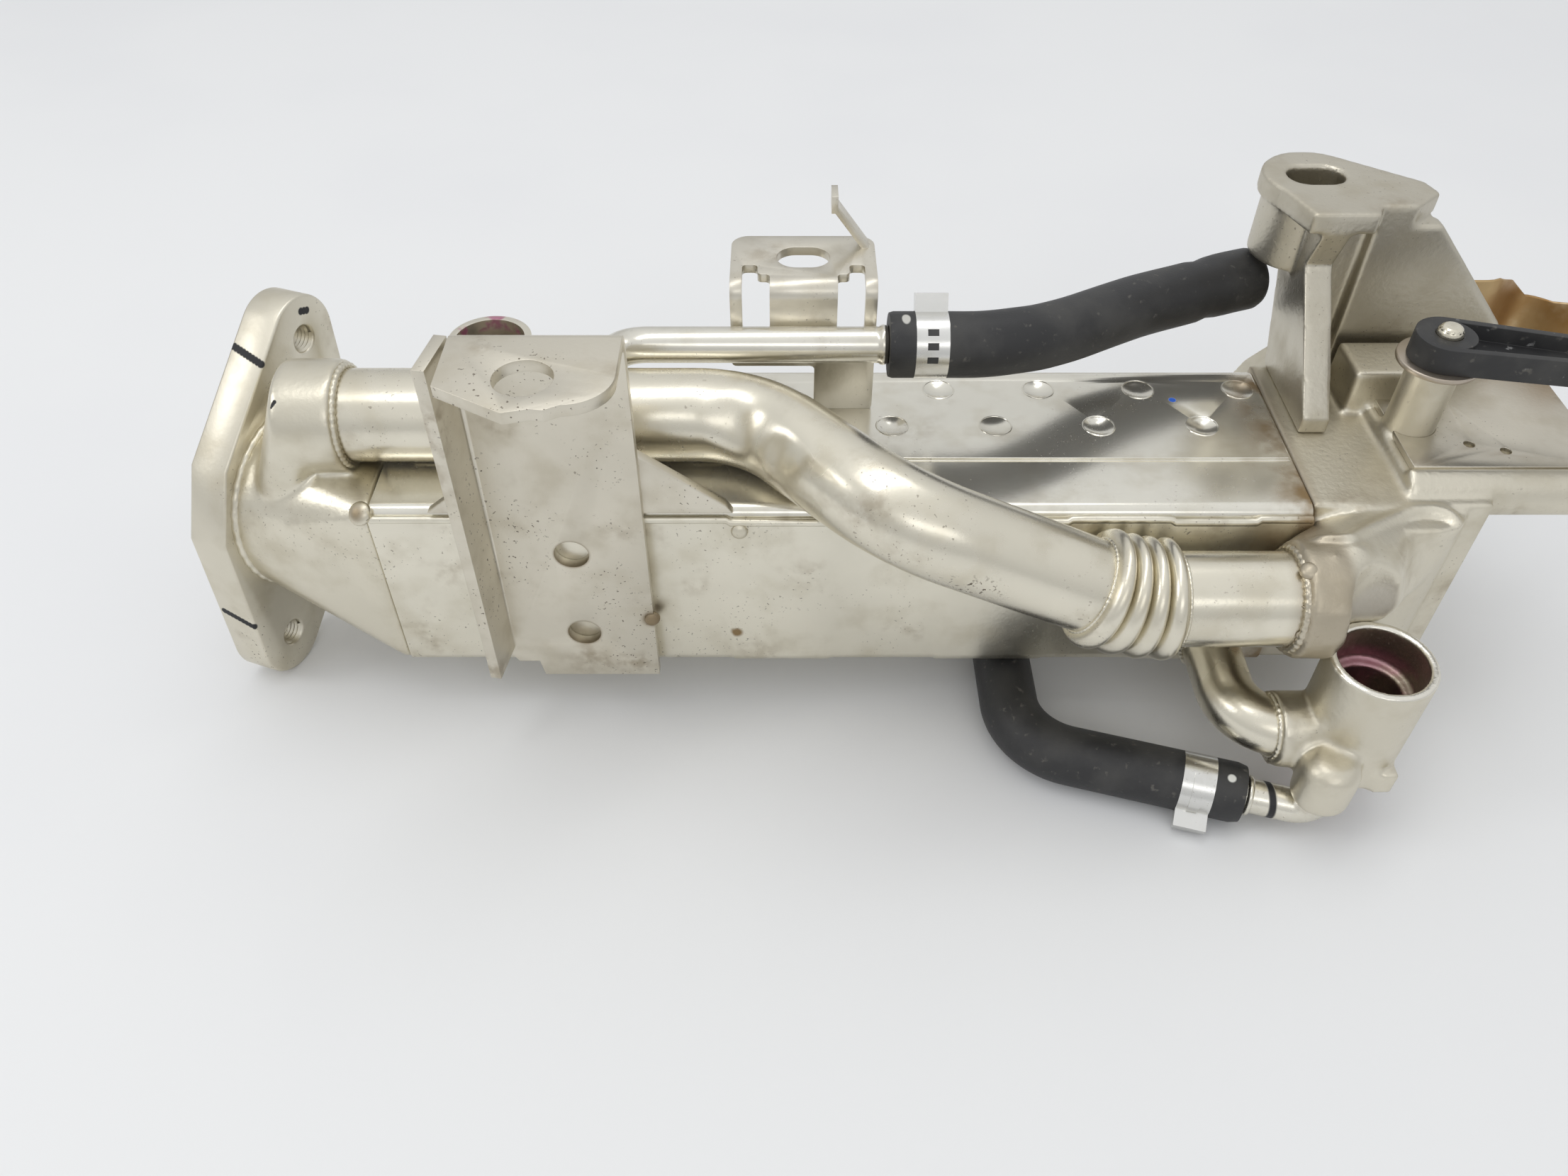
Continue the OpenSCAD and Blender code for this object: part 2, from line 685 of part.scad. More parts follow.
module rear_bracket() {
    left = rear_mid - rear_w / 2;
    right = rear_mid + rear_w / 2;
    t = bracket_t * 0.8;
    strap = 3.3;
    tongue = rear_w * 0.23;
    relief = 3.4;
    window = rear_w / 2 - strap - tongue;
    window_low = rear_top - 15;
    corner = 5;
    finger_t = 1.8;
    finger_l = 18;
    finger_lean = 36;
    color("#cec7b0") {
        along_y(web_front, t) difference() {
            translate([left, field_top]) square([rear_w, rear_top - field_top]);
            for (x = [rear_mid + tongue, rear_mid - tongue - window])
                translate([x, window_low]) square([window, rear_top - window_low + cut]);
            translate([left - cut, field_top - cut]) square([rear_w - 17 + cut, window_low - field_top - 10]);
        }
        translate([0, 0, rear_top - t]) linear_extrude(t) difference() {
            union() {
                soft_rect([left, web_front], [right, web_front + rear_depth], corner);
                translate([left, web_front]) square([rear_w, rear_depth / 2]);
            }
            translate([rear_mid, web_front + rear_depth * 0.56]) slot(rear_slot, rear_hole_d);
            for (x = [rear_mid + tongue, rear_mid - tongue - window])
                translate([x, web_front - cut]) square([window, 6 + cut]);
            for (x = [rear_mid + tongue + relief, rear_mid - tongue - window])
                translate([x, web_front]) square([window - relief, 11]);
        }
        translate([right - 2, web_front + rear_depth - 7, rear_top - t]) {
            rotate([0, -finger_lean, 0]) cube([finger_t, 5, finger_l]);
            translate([-finger_l * sin(finger_lean), -1, finger_l * cos(finger_lean) - 1])
                cube([finger_t, 7, 5]);
        }
    }
}

module coolant_outlet_cup() {
    side_z = field_top + water_d / 2 + 4;
    color("#cbc3ab")
    difference() {
        translate([out_cup.x, out_cup.y, field_top]) cylinder(d = out_cup_d, h = out_cup_h);
        translate([out_cup.x, out_cup.y, out_cup_top - 10])
            cylinder(d = out_cup_d - 2 * cup_wall, h = 10 + cut);
        translate([out_cup.x, out_cup.y, field_top - cut])
            cylinder(d = out_cup_d - 4 * cup_wall, h = out_cup_h);
        rod([out_cup.x, out_cup.y, side_z], [out_cup.x + out_cup_d, out_cup.y, side_z], water_d + 2 * fit);
    }
}

module coolant_pipe() {
    side_z = field_top + water_d / 2 + 4;
    root = [out_cup.x + out_cup_d / 2 - cup_wall, out_cup.y, side_z];
    rise = [root.x + 14, out_cup.y, side_z];
    level = [rise.x + 18, water_y, water_z];
    bead = 0.9;
    beads = [[-1.4, 0], [-1, bead], [0, bead * 1.2], [1, bead], [1.4, 0], [hose_grip, 0]];
    bends = smooth([root, rise, level, [water_end, water_y, water_z]], 11, 8);
    run = [for (i = [0 : len(bends) - 2]) bends[i]];
    route = concat(run, [for (b = beads) [water_end + b[0], water_y, water_z]]);
    outer = concat([for (p = run) water_d / 2], [for (b = beads) water_d / 2 + b[1]]);
    color("#d8d3c4") swept(route, outer, [for (p = route) water_d / 2 - water_wall], 24);
}

module coolant_hose() {
    count = len(hose_route);
    color("#1d1d1e")
    swept(hose_route, [for (i = [1 : count]) hose_d / 2], [for (i = [1 : count]) hose_bore_d / 2], 12);
}

// Spring band round a hose that runs along +x, with its folded ear on top
module band_clamp(d) {
    ear = 5;
    along_x(-clamp_w / 2, clamp_w) difference() {
        union() {
            circle(d = d + 2 * clamp_t + 0.1);
            translate([-ear / 2, 0]) square([ear, d / 2 + clamp_ear]);
        }
        circle(d = d + 0.1);
        translate([-ear / 2 + clamp_t, 0]) square([ear - 2 * clamp_t, d / 2 + clamp_ear - clamp_t]);
    }
}

module hose_clamp() {
    color("#c6c6c2")
    translate([water_end + 13, water_y, water_z]) rotate([-ear_lean, 0, 0]) band_clamp(hose_d);
}

module coolant_inlet_casting() {
    bore_d = in_cup_d - 2 * cup_wall - 1;
    seat = 12;
    collar_start = core_end + 1;
    to_cup = in_cup - boss;
    web_h = 10;
    boss_top = low_z + 20;
    color("#cdc6b0")
    difference() {
        union() {
            translate([in_cup.x, in_cup.y, in_cup_low]) cylinder(d = in_cup_d, h = in_cup_z - in_cup_low);
            rod([collar_start, in_cup.y, collar_z], [in_cup.x, in_cup.y, collar_z], collar_d);
            translate([boss.x, boss.y, low_z + 6]) cylinder(d = boss_d, h = boss_top - low_z - 6);
            translate([boss.x, boss.y, boss_top]) cylinder(d1 = boss_d, d2 = boss_d - 6, h = 3);
            translate([boss.x, boss.y, in_cup_low + 1]) rotate(atan2(to_cup.y, to_cup.x))
                translate([0, 1.5 - boss_d / 2, 0]) cube([norm(to_cup), boss_d - 3, web_h]);
            translate([in_cup.x + 4, in_cup.y - in_cup_d / 2 - 1, in_cup_low + 0.5]) cube([6, 8, 8]);
        }
        translate([in_cup.x, in_cup.y, in_cup_z - seat]) cylinder(d = bore_d, h = seat + cut);
        translate([in_cup.x, in_cup.y, in_cup_low + 3]) cylinder(d = bore_d - 6, h = in_cup_z - in_cup_low);
        rod([collar_start - cut, in_cup.y, collar_z], [in_cup.x, in_cup.y, collar_z], elbow_d - 4);
        rod([elbow_x, in_cup.y, collar_z], [collar_start + 8, in_cup.y, collar_z], elbow_d + 2 * fit);
        translate([boss.x, boss.y, low_z]) cylinder(d = water_d - 2 * water_wall, h = 14);
        translate([boss.x, boss.y, low_z]) cylinder(d = water_d + 2 * fit, h = 12);
        rod([boss.x, boss.y, low_z + 11], [in_cup.x, in_cup.y, low_z + 13], water_d / 2);
    }
}

module coolant_elbow() {
    color("#cfc8b4")
    tube([[core_end + 9, in_cup.y, collar_z], [elbow_x, in_cup.y, collar_z],
        [elbow_x, core_front - fit, collar_z]],
        elbow_d * 0.9, elbow_d, elbow_wall);
}

module spigot_pipe() {
    run = (boss.x - lower_end.x) / lower_way.x + hose_grip;
    color("#d3ceba")
    translate([boss.x, boss.y, low_z]) rotate(-lower_slant)
        tube([[0, 0, 12], [0, 0, 0], [-run, 0, 0]], water_d * 0.6, water_d, water_wall);
}

module lower_hose() {
    start = [nipple_x, nipple_y - nipple_l + hose_grip, low_z];
    color("#1d1d1e")
    swept_tube([start, lower_turn, lower_end], lower_hose_d * 1.2, lower_hose_d,
        (lower_hose_d - hose_bore_d) / 2, 24);
}

module lower_clamp() {
    color("#c6c6c2")
    translate(lower_end - lower_way * 13) rotate([lower_ear_turn, 0, -lower_slant]) band_clamp(lower_hose_d);
}

module lower_nipple() {
    color("#d3ceba")
    tube([[nipple_x, nipple_y, core_bottom + sheet_t], [nipple_x, nipple_y, low_z],
        [nipple_x, nipple_y - nipple_l, low_z]],
        water_d * 0.6, water_d, water_wall);
}

module valve_housing() {
    color("#cbc3ab")
    difference() {
        union() {
            translate([core_end, house_front, core_bottom])
                cube([house_end - core_end, core_back - house_front, house_top - core_bottom]);
            rod([core_end - 9, run_y, run_z], tail_end, bulge_d);
            translate(tail_end) rotate_extrude()
                polygon([for (a = [-90 : 30 : 90]) (bulge_d + 1) / 2 * [cos(a), sin(a)]]);
            rod(tail_end, bulge_end, bulge_d + 0.4);
            translate([bulge_end.x, bulge_end.y, core_bottom + 8])
                cylinder(d = bulge_d + 2, h = house_top - core_bottom - 10);
            along_x(shaft_x - 8, arm_end - shaft_x + 8) difference() {
                union() {
                    translate([arm_mid, arm_top - arm_t]) square([arm_back - arm_mid, arm_t]);
                    translate([arm_mid, arm_top - arm_t / 2]) circle(d = arm_t);
                }
                translate([arm_mid, arm_top - plate_t]) square([core_w, arm_t]);
            }
            translate([shaft_x - 14, 2, core_top - 2]) cube([28, core_back - 10, 16]);
            translate([shaft.x, shaft.y, core_top - 2]) cylinder(d = column_d, h = column_top - core_top + 2);
            translate([shaft.x, shaft.y, boss_low]) cylinder(d = bush_d + 5, h = core_bottom - boss_low + 2);
            rod([outlet_x, core_back - 2, outlet_z], [outlet_x, outlet_face - 2, outlet_z], outlet_d + 10);
            translate([outlet_x, 0, outlet_z]) along_y(outlet_face - outlet_t, outlet_t)
                rotate(flange_lean) two_bolt_flange(outlet_pitch, outlet_waist, flange_flat, outlet_d / 2);
        }
        translate([core_end - cut, house_front + house_wall, chamber_low])
            cube([house_end - core_end - house_wall + cut, core_back - house_front - 2 * house_wall,
                chamber_high - chamber_low]);
        translate([core_x, core_front - fit, core_bottom - cut])
            cube([core_l + fit, core_w + fit + cut, house_top - core_bottom + 2 * cut]);
        rod([core_end - 30, run_y, run_z], tail_end + [fit, 0, 0], pipe_d + 2 * fit);
        rod(tail_end - [2, 0, 0], [bulge_end.x - 5, house_front + house_wall + 4, run_z - 2], pipe_d - 13);
        rod([outlet_x, core_back - house_wall - cut, outlet_z], [outlet_x, outlet_face + cut, outlet_z],
            outlet_d);
        translate([shaft.x, shaft.y, boss_low - cut])
            cylinder(d = bush_d + 2 * fit, h = column_top - boss_low + 2 * cut);
        translate([in_cup.x, in_cup.y, core_bottom]) cylinder(d = in_cup_d + 2 * fit, h = core_h + 40);
    }
}

module mount_tower() {
    x0 = core_end + 5;
    top = core_top + tower_h;
    rib_front = -shaft_y + 1;
    hole = [core_end + 8.5, core_back + 14];
    end_r = 15;
    wall_y = core_back - 5;
    wall_t = tower_rib_t - 2;
    recess_w = 8;
    recess_t = wall_t * 0.58;
    color("#c8c1aa")
    difference() {
        union() {
            translate([0, 0, top - tower_plate_t]) linear_extrude(tower_plate_t) {
                translate(hole) circle(end_r);
                polygon([[hole.x - end_r, hole.y], [x0 - 4, wall_y - 5], [x0 + 14, wall_y - 5],
                    [x0 + 16, wall_y], [x0 + 26, wall_y], [x0 + 35, wall_y + 8], [x0 + 33, wall_y + 15],
                    [hole.x + 9, hole.y + 12]]);
            }
            translate([hole.x, hole.y, top - post_h])
                cylinder(r = end_r - 2, h = post_h - tower_plate_t);
            along_x(x0, tower_rib_t) polygon([[rib_front, house_top], [core_back, house_top],
                [hole.y, top - post_h], [hole.y, top - tower_plate_t], [wall_y - 5, top - tower_plate_t],
                [wall_y, top - 18], [rib_front, house_top + 5]]);
            along_y(wall_y, wall_t) polygon([[x0 + 1, house_top], [shaft_x - 14, house_top],
                [shaft_x - 14, arm_top - plate_t + fit], [shaft_x + 34, arm_top - plate_t + fit],
                [shaft_x + 34, arm_top + 12], [x0 + 35, top - tower_plate_t], [x0 + 1, top - tower_plate_t]]);
        }
        translate([x0 + tower_rib_t, wall_y - cut, house_top + 6])
            cube([recess_w, recess_t + cut, top - tower_plate_t - house_top - 7]);
        translate([hole.x, hole.y, top - post_h - cut])
            linear_extrude(post_h + 2 * cut) slot(tower_slot, tower_hole_d);
        translate([shaft_x - 14 - fit, 2 - fit, core_top - 2])
            cube([28 + 2 * fit, core_back - 10 + 2 * fit, 16 + fit]);
    }
}

// Sleeve that the shaft turns in
module bush(low, high) {
    translate([shaft.x, shaft.y, low]) difference() {
        cylinder(d = bush_d, h = high - low);
        translate([0, 0, -cut]) cylinder(d = shaft_d + 2 * fit, h = high - low + 2 * cut);
    }
}

module upper_bush() {
    color("#8f7d5a") bush(chamber_high, column_top);
}

module lower_bush() {
    color("#8f7d5a") bush(shaft_low, chamber_low);
}

module shaft_plug() {
    color("#b7b2a4")
    translate([shaft.x, shaft.y, boss_low]) cylinder(d = bush_d, h = shaft_low - boss_low - 0.3);
}

module valve_shaft() {
    color("#d7d2c2") {
        translate([shaft.x, shaft.y, shaft_low]) cylinder(d = shaft_d, h = shaft_top - 1.5 - shaft_low);
        translate([shaft.x, shaft.y, shaft_top - 1.5]) cylinder(d1 = shaft_d, d2 = shaft_d - 2, h = 1.5);
    }
}

// Places a shape drawn along +x from the shaft at the flap's rest angle
module at_flap() {
    translate([shaft.x, shaft.y, 0]) rotate(215) children();
}

module valve_flap() {
    low = chamber_low + 1.5;
    high = chamber_high - 1.5;
    color("#9c9280")
    at_flap() difference() {
        union() {
            translate([0, shaft_d / 2 + fit, low]) cube([flap_l, flap_t, high - low]);
            translate([-shaft_d / 2 - 1, shaft_d / 2 + fit, low]) cube([shaft_d / 2 + 2, flap_t, high - low]);
        }
        for (z = [low + 10, high - 10])
            translate([0, -shaft_d, z]) rotate([-90, 0, 0]) cylinder(d = 3.2, h = 3 * shaft_d);
    }
}

module flap_screws() {
    low = chamber_low + 1.5;
    high = chamber_high - 1.5;
    seat = shaft_d / 2 + fit;
    color("#a8a79f")
    at_flap() for (z = [low + 10, high - 10]) translate([0, 0, z]) rotate([-90, 0, 0]) {
        translate([0, 0, seat]) cylinder(d = 3, h = flap_t);
        translate([0, 0, seat + flap_t]) cylinder(d = 5.5, h = 1.6);
    }
}

module seal_disc() {
    color("#9d9484")
    translate([shaft.x, shaft.y, disc_z]) difference() {
        cylinder(d = disc_d, h = disc_t);
        translate([0, 0, -cut]) cylinder(d = shaft_d + 2 * fit, h = disc_t + 2 * cut);
    }
}

// Outline of the lever, drawn in by inset, from its head on the shaft to its eye
module lever_outline(inset) {
    hull() {
        circle(disc_d * 0.39 - inset, $fn = 40);
        translate([lever_l, 0]) circle(eye_d / 2 + 3 - inset, $fn = 40);
    }
}

module valve_lever() {
    wall = 2;
    floor_t = 3;
    color("#232325")
    translate([shaft.x, shaft.y, lever_z]) rotate(-lever_turn) difference() {
        linear_extrude(lever_h) lever_outline(0);
        translate([0, 0, floor_t]) linear_extrude(lever_h) difference() {
            lever_outline(wall);
            circle(disc_d * 0.33);
        }
        translate([0, 0, -cut]) cylinder(d = shaft_d + 2 * fit, h = lever_h + 2 * cut);
        translate([lever_l, 0, -cut]) cylinder(d = eye_d, h = lever_h + 2 * cut);
    }
}

module actuator_plate() {
    front = arm_mid + fit;
    back = core_back - 6;
    hole = 3;
    color("#b3aa97")
    difference() {
        translate([shaft_x - 6, front, arm_top - plate_t])
            cube([arm_end - shaft_x + 4, back - front, plate_t]);
        translate([shaft.x, shaft.y, arm_top - 2 * plate_t])
            cylinder(d = column_d + 2 * fit, h = 3 * plate_t);
        translate([shaft_x - 14 - fit, 2 - fit, core_top - 2]) cube([28 + 2 * fit, core_back, 16]);
        for (p = [[13, -10], [22, -13]])
            translate([shaft_x + p.x, p.y - shaft_y, arm_top - 2 * plate_t])
                cylinder(d = hole, h = 3 * plate_t);
    }
}

// Depth of the heat shield's wave at distance x along it
function swell(x) = x < 22 ? 0 : 6 * (1 - cos(9 * (x - 22)));

module heat_shield() {
    x0 = shaft_x + 8;
    length = 74;
    step = 2;
    low = arm_top - arm_t + 2;
    color("#a5743a")
    intersection() {
        translate([0, 0, low]) linear_extrude(60) polygon(concat(
            [for (x = [0 : step : length]) [x0 + x, arm_back + fit + swell(x)]],
            [for (x = [length : -step : 0]) [x0 + x, arm_back + fit + shield_t + swell(x)]]));
        along_y(arm_back - cut, 60) polygon([[x0, low], [x0 + length, low], [x0 + length, low + 30],
            [x0 + length - 14, low + 27], [x0 + length - 24, low + 23], [x0 + length - 31, low + 23],
            [x0 + length - 39, low + 30], [x0 + length - 48, low + 35], [x0 + 14, low + 35], [x0, low + 13]]);
    }
}

inlet_flange();
inlet_cone();
core_tray();
core_lid();
inlet_header();
outlet_header();
gas_tubes();
tube_baffles();
bypass_pipe();
bypass_bellows();
bypass_tail();
front_bracket();
bracket_stiffener();
rear_bracket();
coolant_outlet_cup();
coolant_pipe();
coolant_hose();
hose_clamp();
coolant_inlet_casting();
coolant_elbow();
spigot_pipe();
lower_hose();
lower_clamp();
lower_nipple();
valve_housing();
mount_tower();
upper_bush();
lower_bush();
shaft_plug();
valve_shaft();
valve_flap();
flap_screws();
seal_disc();
valve_lever();
actuator_plate();
heat_shield();
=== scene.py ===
# %% [markdown]
# # Exhaust gas cooler, dressed over its CAD frame
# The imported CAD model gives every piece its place. This lesson keeps that frame still and rebuilds what
# the eye sees: pressed sheet with eased edges, castings with soft corners, a bent pipe with its bellows,
# rubber and stains. All shapes are drawn in millimetres, in the CAD frame, and are scaled to metres when
# a piece is finished.

# %% Load the frame
import math

import bmesh
import bpy
from mathutils import Matrix, Vector


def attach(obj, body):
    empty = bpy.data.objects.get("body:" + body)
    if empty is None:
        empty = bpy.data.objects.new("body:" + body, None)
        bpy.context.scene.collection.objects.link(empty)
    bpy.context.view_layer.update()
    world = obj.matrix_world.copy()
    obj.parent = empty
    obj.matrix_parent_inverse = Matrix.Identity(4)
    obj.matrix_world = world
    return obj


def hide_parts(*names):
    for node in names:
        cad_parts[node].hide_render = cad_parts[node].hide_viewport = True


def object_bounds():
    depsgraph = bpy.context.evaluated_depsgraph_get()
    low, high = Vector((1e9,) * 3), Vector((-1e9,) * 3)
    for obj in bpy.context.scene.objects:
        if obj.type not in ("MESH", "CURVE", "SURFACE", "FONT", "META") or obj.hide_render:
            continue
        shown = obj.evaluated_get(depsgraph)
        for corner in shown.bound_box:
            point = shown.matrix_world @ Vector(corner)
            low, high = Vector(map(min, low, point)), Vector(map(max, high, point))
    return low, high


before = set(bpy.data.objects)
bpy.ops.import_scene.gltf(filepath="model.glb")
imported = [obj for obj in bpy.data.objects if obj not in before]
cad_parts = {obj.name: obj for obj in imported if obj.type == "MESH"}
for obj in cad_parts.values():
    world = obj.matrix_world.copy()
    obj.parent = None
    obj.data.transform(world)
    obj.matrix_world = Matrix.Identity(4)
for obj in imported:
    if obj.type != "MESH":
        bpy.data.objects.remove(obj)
cad_box = [list(corner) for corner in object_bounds()]
MM = 0.001

# %% [markdown]
# The camera stands where the photographer stood: straight in front, looking down at half a right angle,
# with a short lens close to the object. A wide lens from near by gives the photograph its strong
# perspective, which a long lens further away could not.

# %% Photo camera
camera_data = bpy.data.cameras.new("photo_camera")
camera_data.lens = 27.59
camera_data.sensor_width = 36.0
camera_data.clip_start = 0.01
camera = bpy.data.objects.new("photo_camera", camera_data)
camera.location = (0.1596, -0.2848, 0.2389)
camera.rotation_euler = (math.radians(45.0), 0.0, 0.0)
bpy.context.scene.collection.objects.link(camera)
bpy.context.scene.camera = camera
print("camera", tuple(round(c, 3) for c in camera.location))

# %% [markdown]
# Tubes could be curves with a bevel, but a curve can't change its wall along the way. So a ring of points
# is pulled along the route, one extrusion for each step, and turned and scaled on the way: the same
# helper then makes pipes, hoses and the bellows. Two such skins, bridged at both ends, make a hollow
# tube.

# %% Tube helpers
def smooth_route(points, count):
    """count points on a smooth curve through the given points."""
    points = [Vector(p) for p in points]
    ends = [2 * points[0] - points[1], *points, 2 * points[-1] - points[-2]]
    spans = len(points) - 1
    route = []
    for i in range(count):
        place = i * spans / (count - 1)
        k = min(int(place), spans - 1)
        t = place - k
        a, b, c, d = ends[k:k + 4]
        route.append(0.5 * (2 * b + (c - a) * t + (2 * a - 5 * b + 4 * c - d) * t * t
                            + (3 * b - a - 3 * c + d) * t ** 3))
    return route


def bent_route(corners, radius, step=5.0):
    """Straight runs with an arc of one radius at each inner corner, as a pipe bender leaves them."""
    corners = [Vector(c) for c in corners]
    route = [corners[0]]
    for before, corner, after in zip(corners, corners[1:], corners[2:]):
        u, v = (corner - before).normalized(), (after - corner).normalized()
        angle = u.angle(v)
        reach = radius * math.tan(angle / 2)
        axis = u.cross(v).normalized()
        middle = corner - u * reach + axis.cross(u) * radius
        arm = corner - u * reach - middle
        count = max(2, math.ceil(math.degrees(angle) / step))
        route += [middle + Matrix.Rotation(angle * i / count, 3, axis) @ arm for i in range(count + 1)]
    return route + [corners[-1]]


def filled_route(route, gap):
    """The same route with more points on its long straight runs."""
    dense = [route[0]]
    for a, b in zip(route, route[1:]):
        count = max(1, math.ceil((b - a).length / gap))
        dense += [a.lerp(b, (i + 1) / count) for i in range(count)]
    return dense


def draw_tube(bm, route, radii, sides):
    """Pulls a ring along a route and returns its first and last edge loops."""
    last = len(route) - 1
    start = bmesh.ops.create_circle(bm, segments=sides, radius=1.0)["verts"]
    loop = list({e for v in start for e in v.link_edges})
    first, heading, centre, size = loop, Vector((0, 0, 1)), Vector(), 1.0
    for i, point in enumerate(route):
        ahead = (route[min(i + 1, last)] - route[max(i - 1, 0)]).normalized()
        ring = start
        if i:
            grown = bmesh.ops.extrude_edge_only(bm, edges=loop)["geom"]
            ring = [g for g in grown if isinstance(g, bmesh.types.BMVert)]
            loop = [g for g in grown if isinstance(g, bmesh.types.BMEdge) and set(g.verts) <= set(ring)]
        turn = heading.rotation_difference(ahead).to_matrix().to_4x4()
        grow = Matrix.Scale(radii[i] / size, 4)
        move = Matrix.Translation(point) @ turn @ grow @ Matrix.Translation(-centre)
        bmesh.ops.transform(bm, matrix=move, verts=ring)
        heading, centre, size = ahead, point, radii[i]
    return first, loop


def hollow_tube(route, outer, inner, sides):
    """A tube with its own outer and inner radius at each point of the route."""
    bm = bmesh.new()
    outside = draw_tube(bm, route, outer, sides)
    inside = draw_tube(bm, route, inner, sides)
    for a, b in zip(outside, inside):
        bmesh.ops.bridge_loops(bm, edges=a + b)
    bmesh.ops.recalc_face_normals(bm, faces=bm.faces)
    return bm


# %% [markdown]
# Every piece ends the same way: its mesh is scaled to metres, shaded smooth with sharp edges kept sharp,
# hung on its CAD body and, where it stands for a CAD node, that node is hidden.

# %% Finishing a piece
def finish_piece(bm, name, finish, stands_for=(), body="cooler", sharp=35.0):
    bmesh.ops.scale(bm, vec=(MM, MM, MM), verts=bm.verts)
    mesh = bpy.data.meshes.new(name)
    bm.to_mesh(mesh)
    bm.free()
    mesh.shade_smooth()
    mesh.set_sharp_from_angle(angle=math.radians(sharp))
    mesh.materials.append(finish)
    piece = bpy.data.objects.new(name, mesh)
    bpy.context.scene.collection.objects.link(piece)
    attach(piece, body)
    if stands_for:
        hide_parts(*stands_for)
    print(name, len(mesh.polygons), "faces")
    return piece


# %% [markdown]
# A finish on a used metal part is a stack of coats: the clean metal, cloudy tone changes, brown stains,
# tiny specks, a grain that breaks up the gloss, and marks at known places. Image textures could hold all
# of that, but noise on Object coordinates stays sharp at any distance and needs no unwrapping.

# %% Finish builder
class Finish:
    """A procedural material on Object coordinates, built up coat by coat."""

    def __init__(self, name, colour, roughness, metallic=1.0):
        self.material = bpy.data.materials.new(name)
        self.material.use_nodes = True
        self.tree = self.material.node_tree
        self.shader = self.tree.nodes["Principled BSDF"]
        self.place = self.tree.nodes.new("ShaderNodeTexCoord").outputs["Object"]
        self.coats = {"Base Color": (*colour, 1.0), "Roughness": roughness, "Metallic": metallic}

    def feed(self, socket, value):
        if isinstance(value, bpy.types.NodeSocket):
            self.tree.links.new(value, socket)
        else:
            socket.default_value = value

    def noise(self, scale, detail=3.0, stretch=(1.0, 1.0, 1.0)):
        """Noise between 0 and 1, with scale in lumps per metre."""
        mapping = self.tree.nodes.new("ShaderNodeMapping")
        mapping.inputs["Scale"].default_value = stretch
        self.feed(mapping.inputs["Vector"], self.place)
        node = self.tree.nodes.new("ShaderNodeTexNoise")
        node.inputs["Scale"].default_value = scale
        node.inputs["Detail"].default_value = detail
        self.feed(node.inputs["Vector"], mapping.outputs["Vector"])
        return node.outputs["Fac"]

    def mask(self, value, low, high, start=0.0, end=1.0):
        """Soft step from start, below low, to end, above high."""
        node = self.tree.nodes.new("ShaderNodeMapRange")
        node.interpolation_type = "SMOOTHSTEP"
        for name, item in (("Value", value), ("From Min", low), ("From Max", high),
                           ("To Min", start), ("To Max", end)):
            self.feed(node.inputs[name], item)
        return node.outputs["Result"]

    def times(self, a, b):
        node = self.tree.nodes.new("ShaderNodeMath")
        node.operation = "MULTIPLY"
        self.feed(node.inputs[0], a)
        self.feed(node.inputs[1], b)
        return node.outputs["Value"]

    def axis(self, letter):
        """One coordinate of the surface, in metres."""
        node = self.tree.nodes.new("ShaderNodeSeparateXYZ")
        self.feed(node.inputs["Vector"], self.place)
        return node.outputs[letter]

    def spot(self, centre, radius, soft=0.5, squash=(1.0, 1.0, 1.0)):
        """1 inside a ball at centre, 0 outside, in millimetres; squash flattens the ball."""
        mapping = self.tree.nodes.new("ShaderNodeMapping")
        mapping.inputs["Scale"].default_value = [1 / s for s in squash]
        mapping.inputs["Location"].default_value = [-c * MM / s for c, s in zip(centre, squash)]
        self.feed(mapping.inputs["Vector"], self.place)
        node = self.tree.nodes.new("ShaderNodeVectorMath")
        node.operation = "LENGTH"
        self.feed(node.inputs[0], mapping.outputs["Vector"])
        return self.mask(node.outputs["Value"], radius * MM * (1 - soft), radius * MM, 1.0, 0.0)

    def stroke(self, start, end, width):
        """1 along a line from start to end, as drawn by a marker of that width, in millimetres."""
        start, end = Vector(start), Vector(end)
        dabs = max(2, math.ceil((end - start).length / width) + 1)
        mask = self.spot(start, width, 0.3)
        for i in range(1, dabs):
            node = self.tree.nodes.new("ShaderNodeMath")
            node.operation = "MAXIMUM"
            self.feed(node.inputs[0], mask)
            self.feed(node.inputs[1], self.spot(start.lerp(end, i / (dabs - 1)), width, 0.3))
            mask = node.outputs["Value"]
        return mask

    def coat(self, mask, colour=None, roughness=None, metallic=None):
        """Lays a coat over what is there, where mask is 1."""
        wanted = {"Base Color": colour and (*colour, 1.0), "Roughness": roughness, "Metallic": metallic}
        for name, value in wanted.items():
            if value is None:
                continue
            node = self.tree.nodes.new("ShaderNodeMix")
            node.data_type = "RGBA" if name == "Base Color" else "FLOAT"
            at = 6 if name == "Base Color" else 2
            self.feed(node.inputs[0], mask)
            self.feed(node.inputs[at], self.coats[name])
            self.feed(node.inputs[at + 1], value)
            self.coats[name] = node.outputs[2 if name == "Base Color" else 0]

    def grain(self, height, distance, strength=1.0):
        node = self.tree.nodes.new("ShaderNodeBump")
        node.inputs["Strength"].default_value = strength
        node.inputs["Distance"].default_value = distance
        self.feed(node.inputs["Height"], height)
        self.feed(self.shader.inputs["Normal"], node.outputs["Normal"])

    def done(self):
        for name, value in self.coats.items():
            self.feed(self.shader.inputs[name], value)
        return self.material


# %% [markdown]
# The hoses are matte black rubber with a faint grey bloom, dusty streaks and a fine moulded skin.

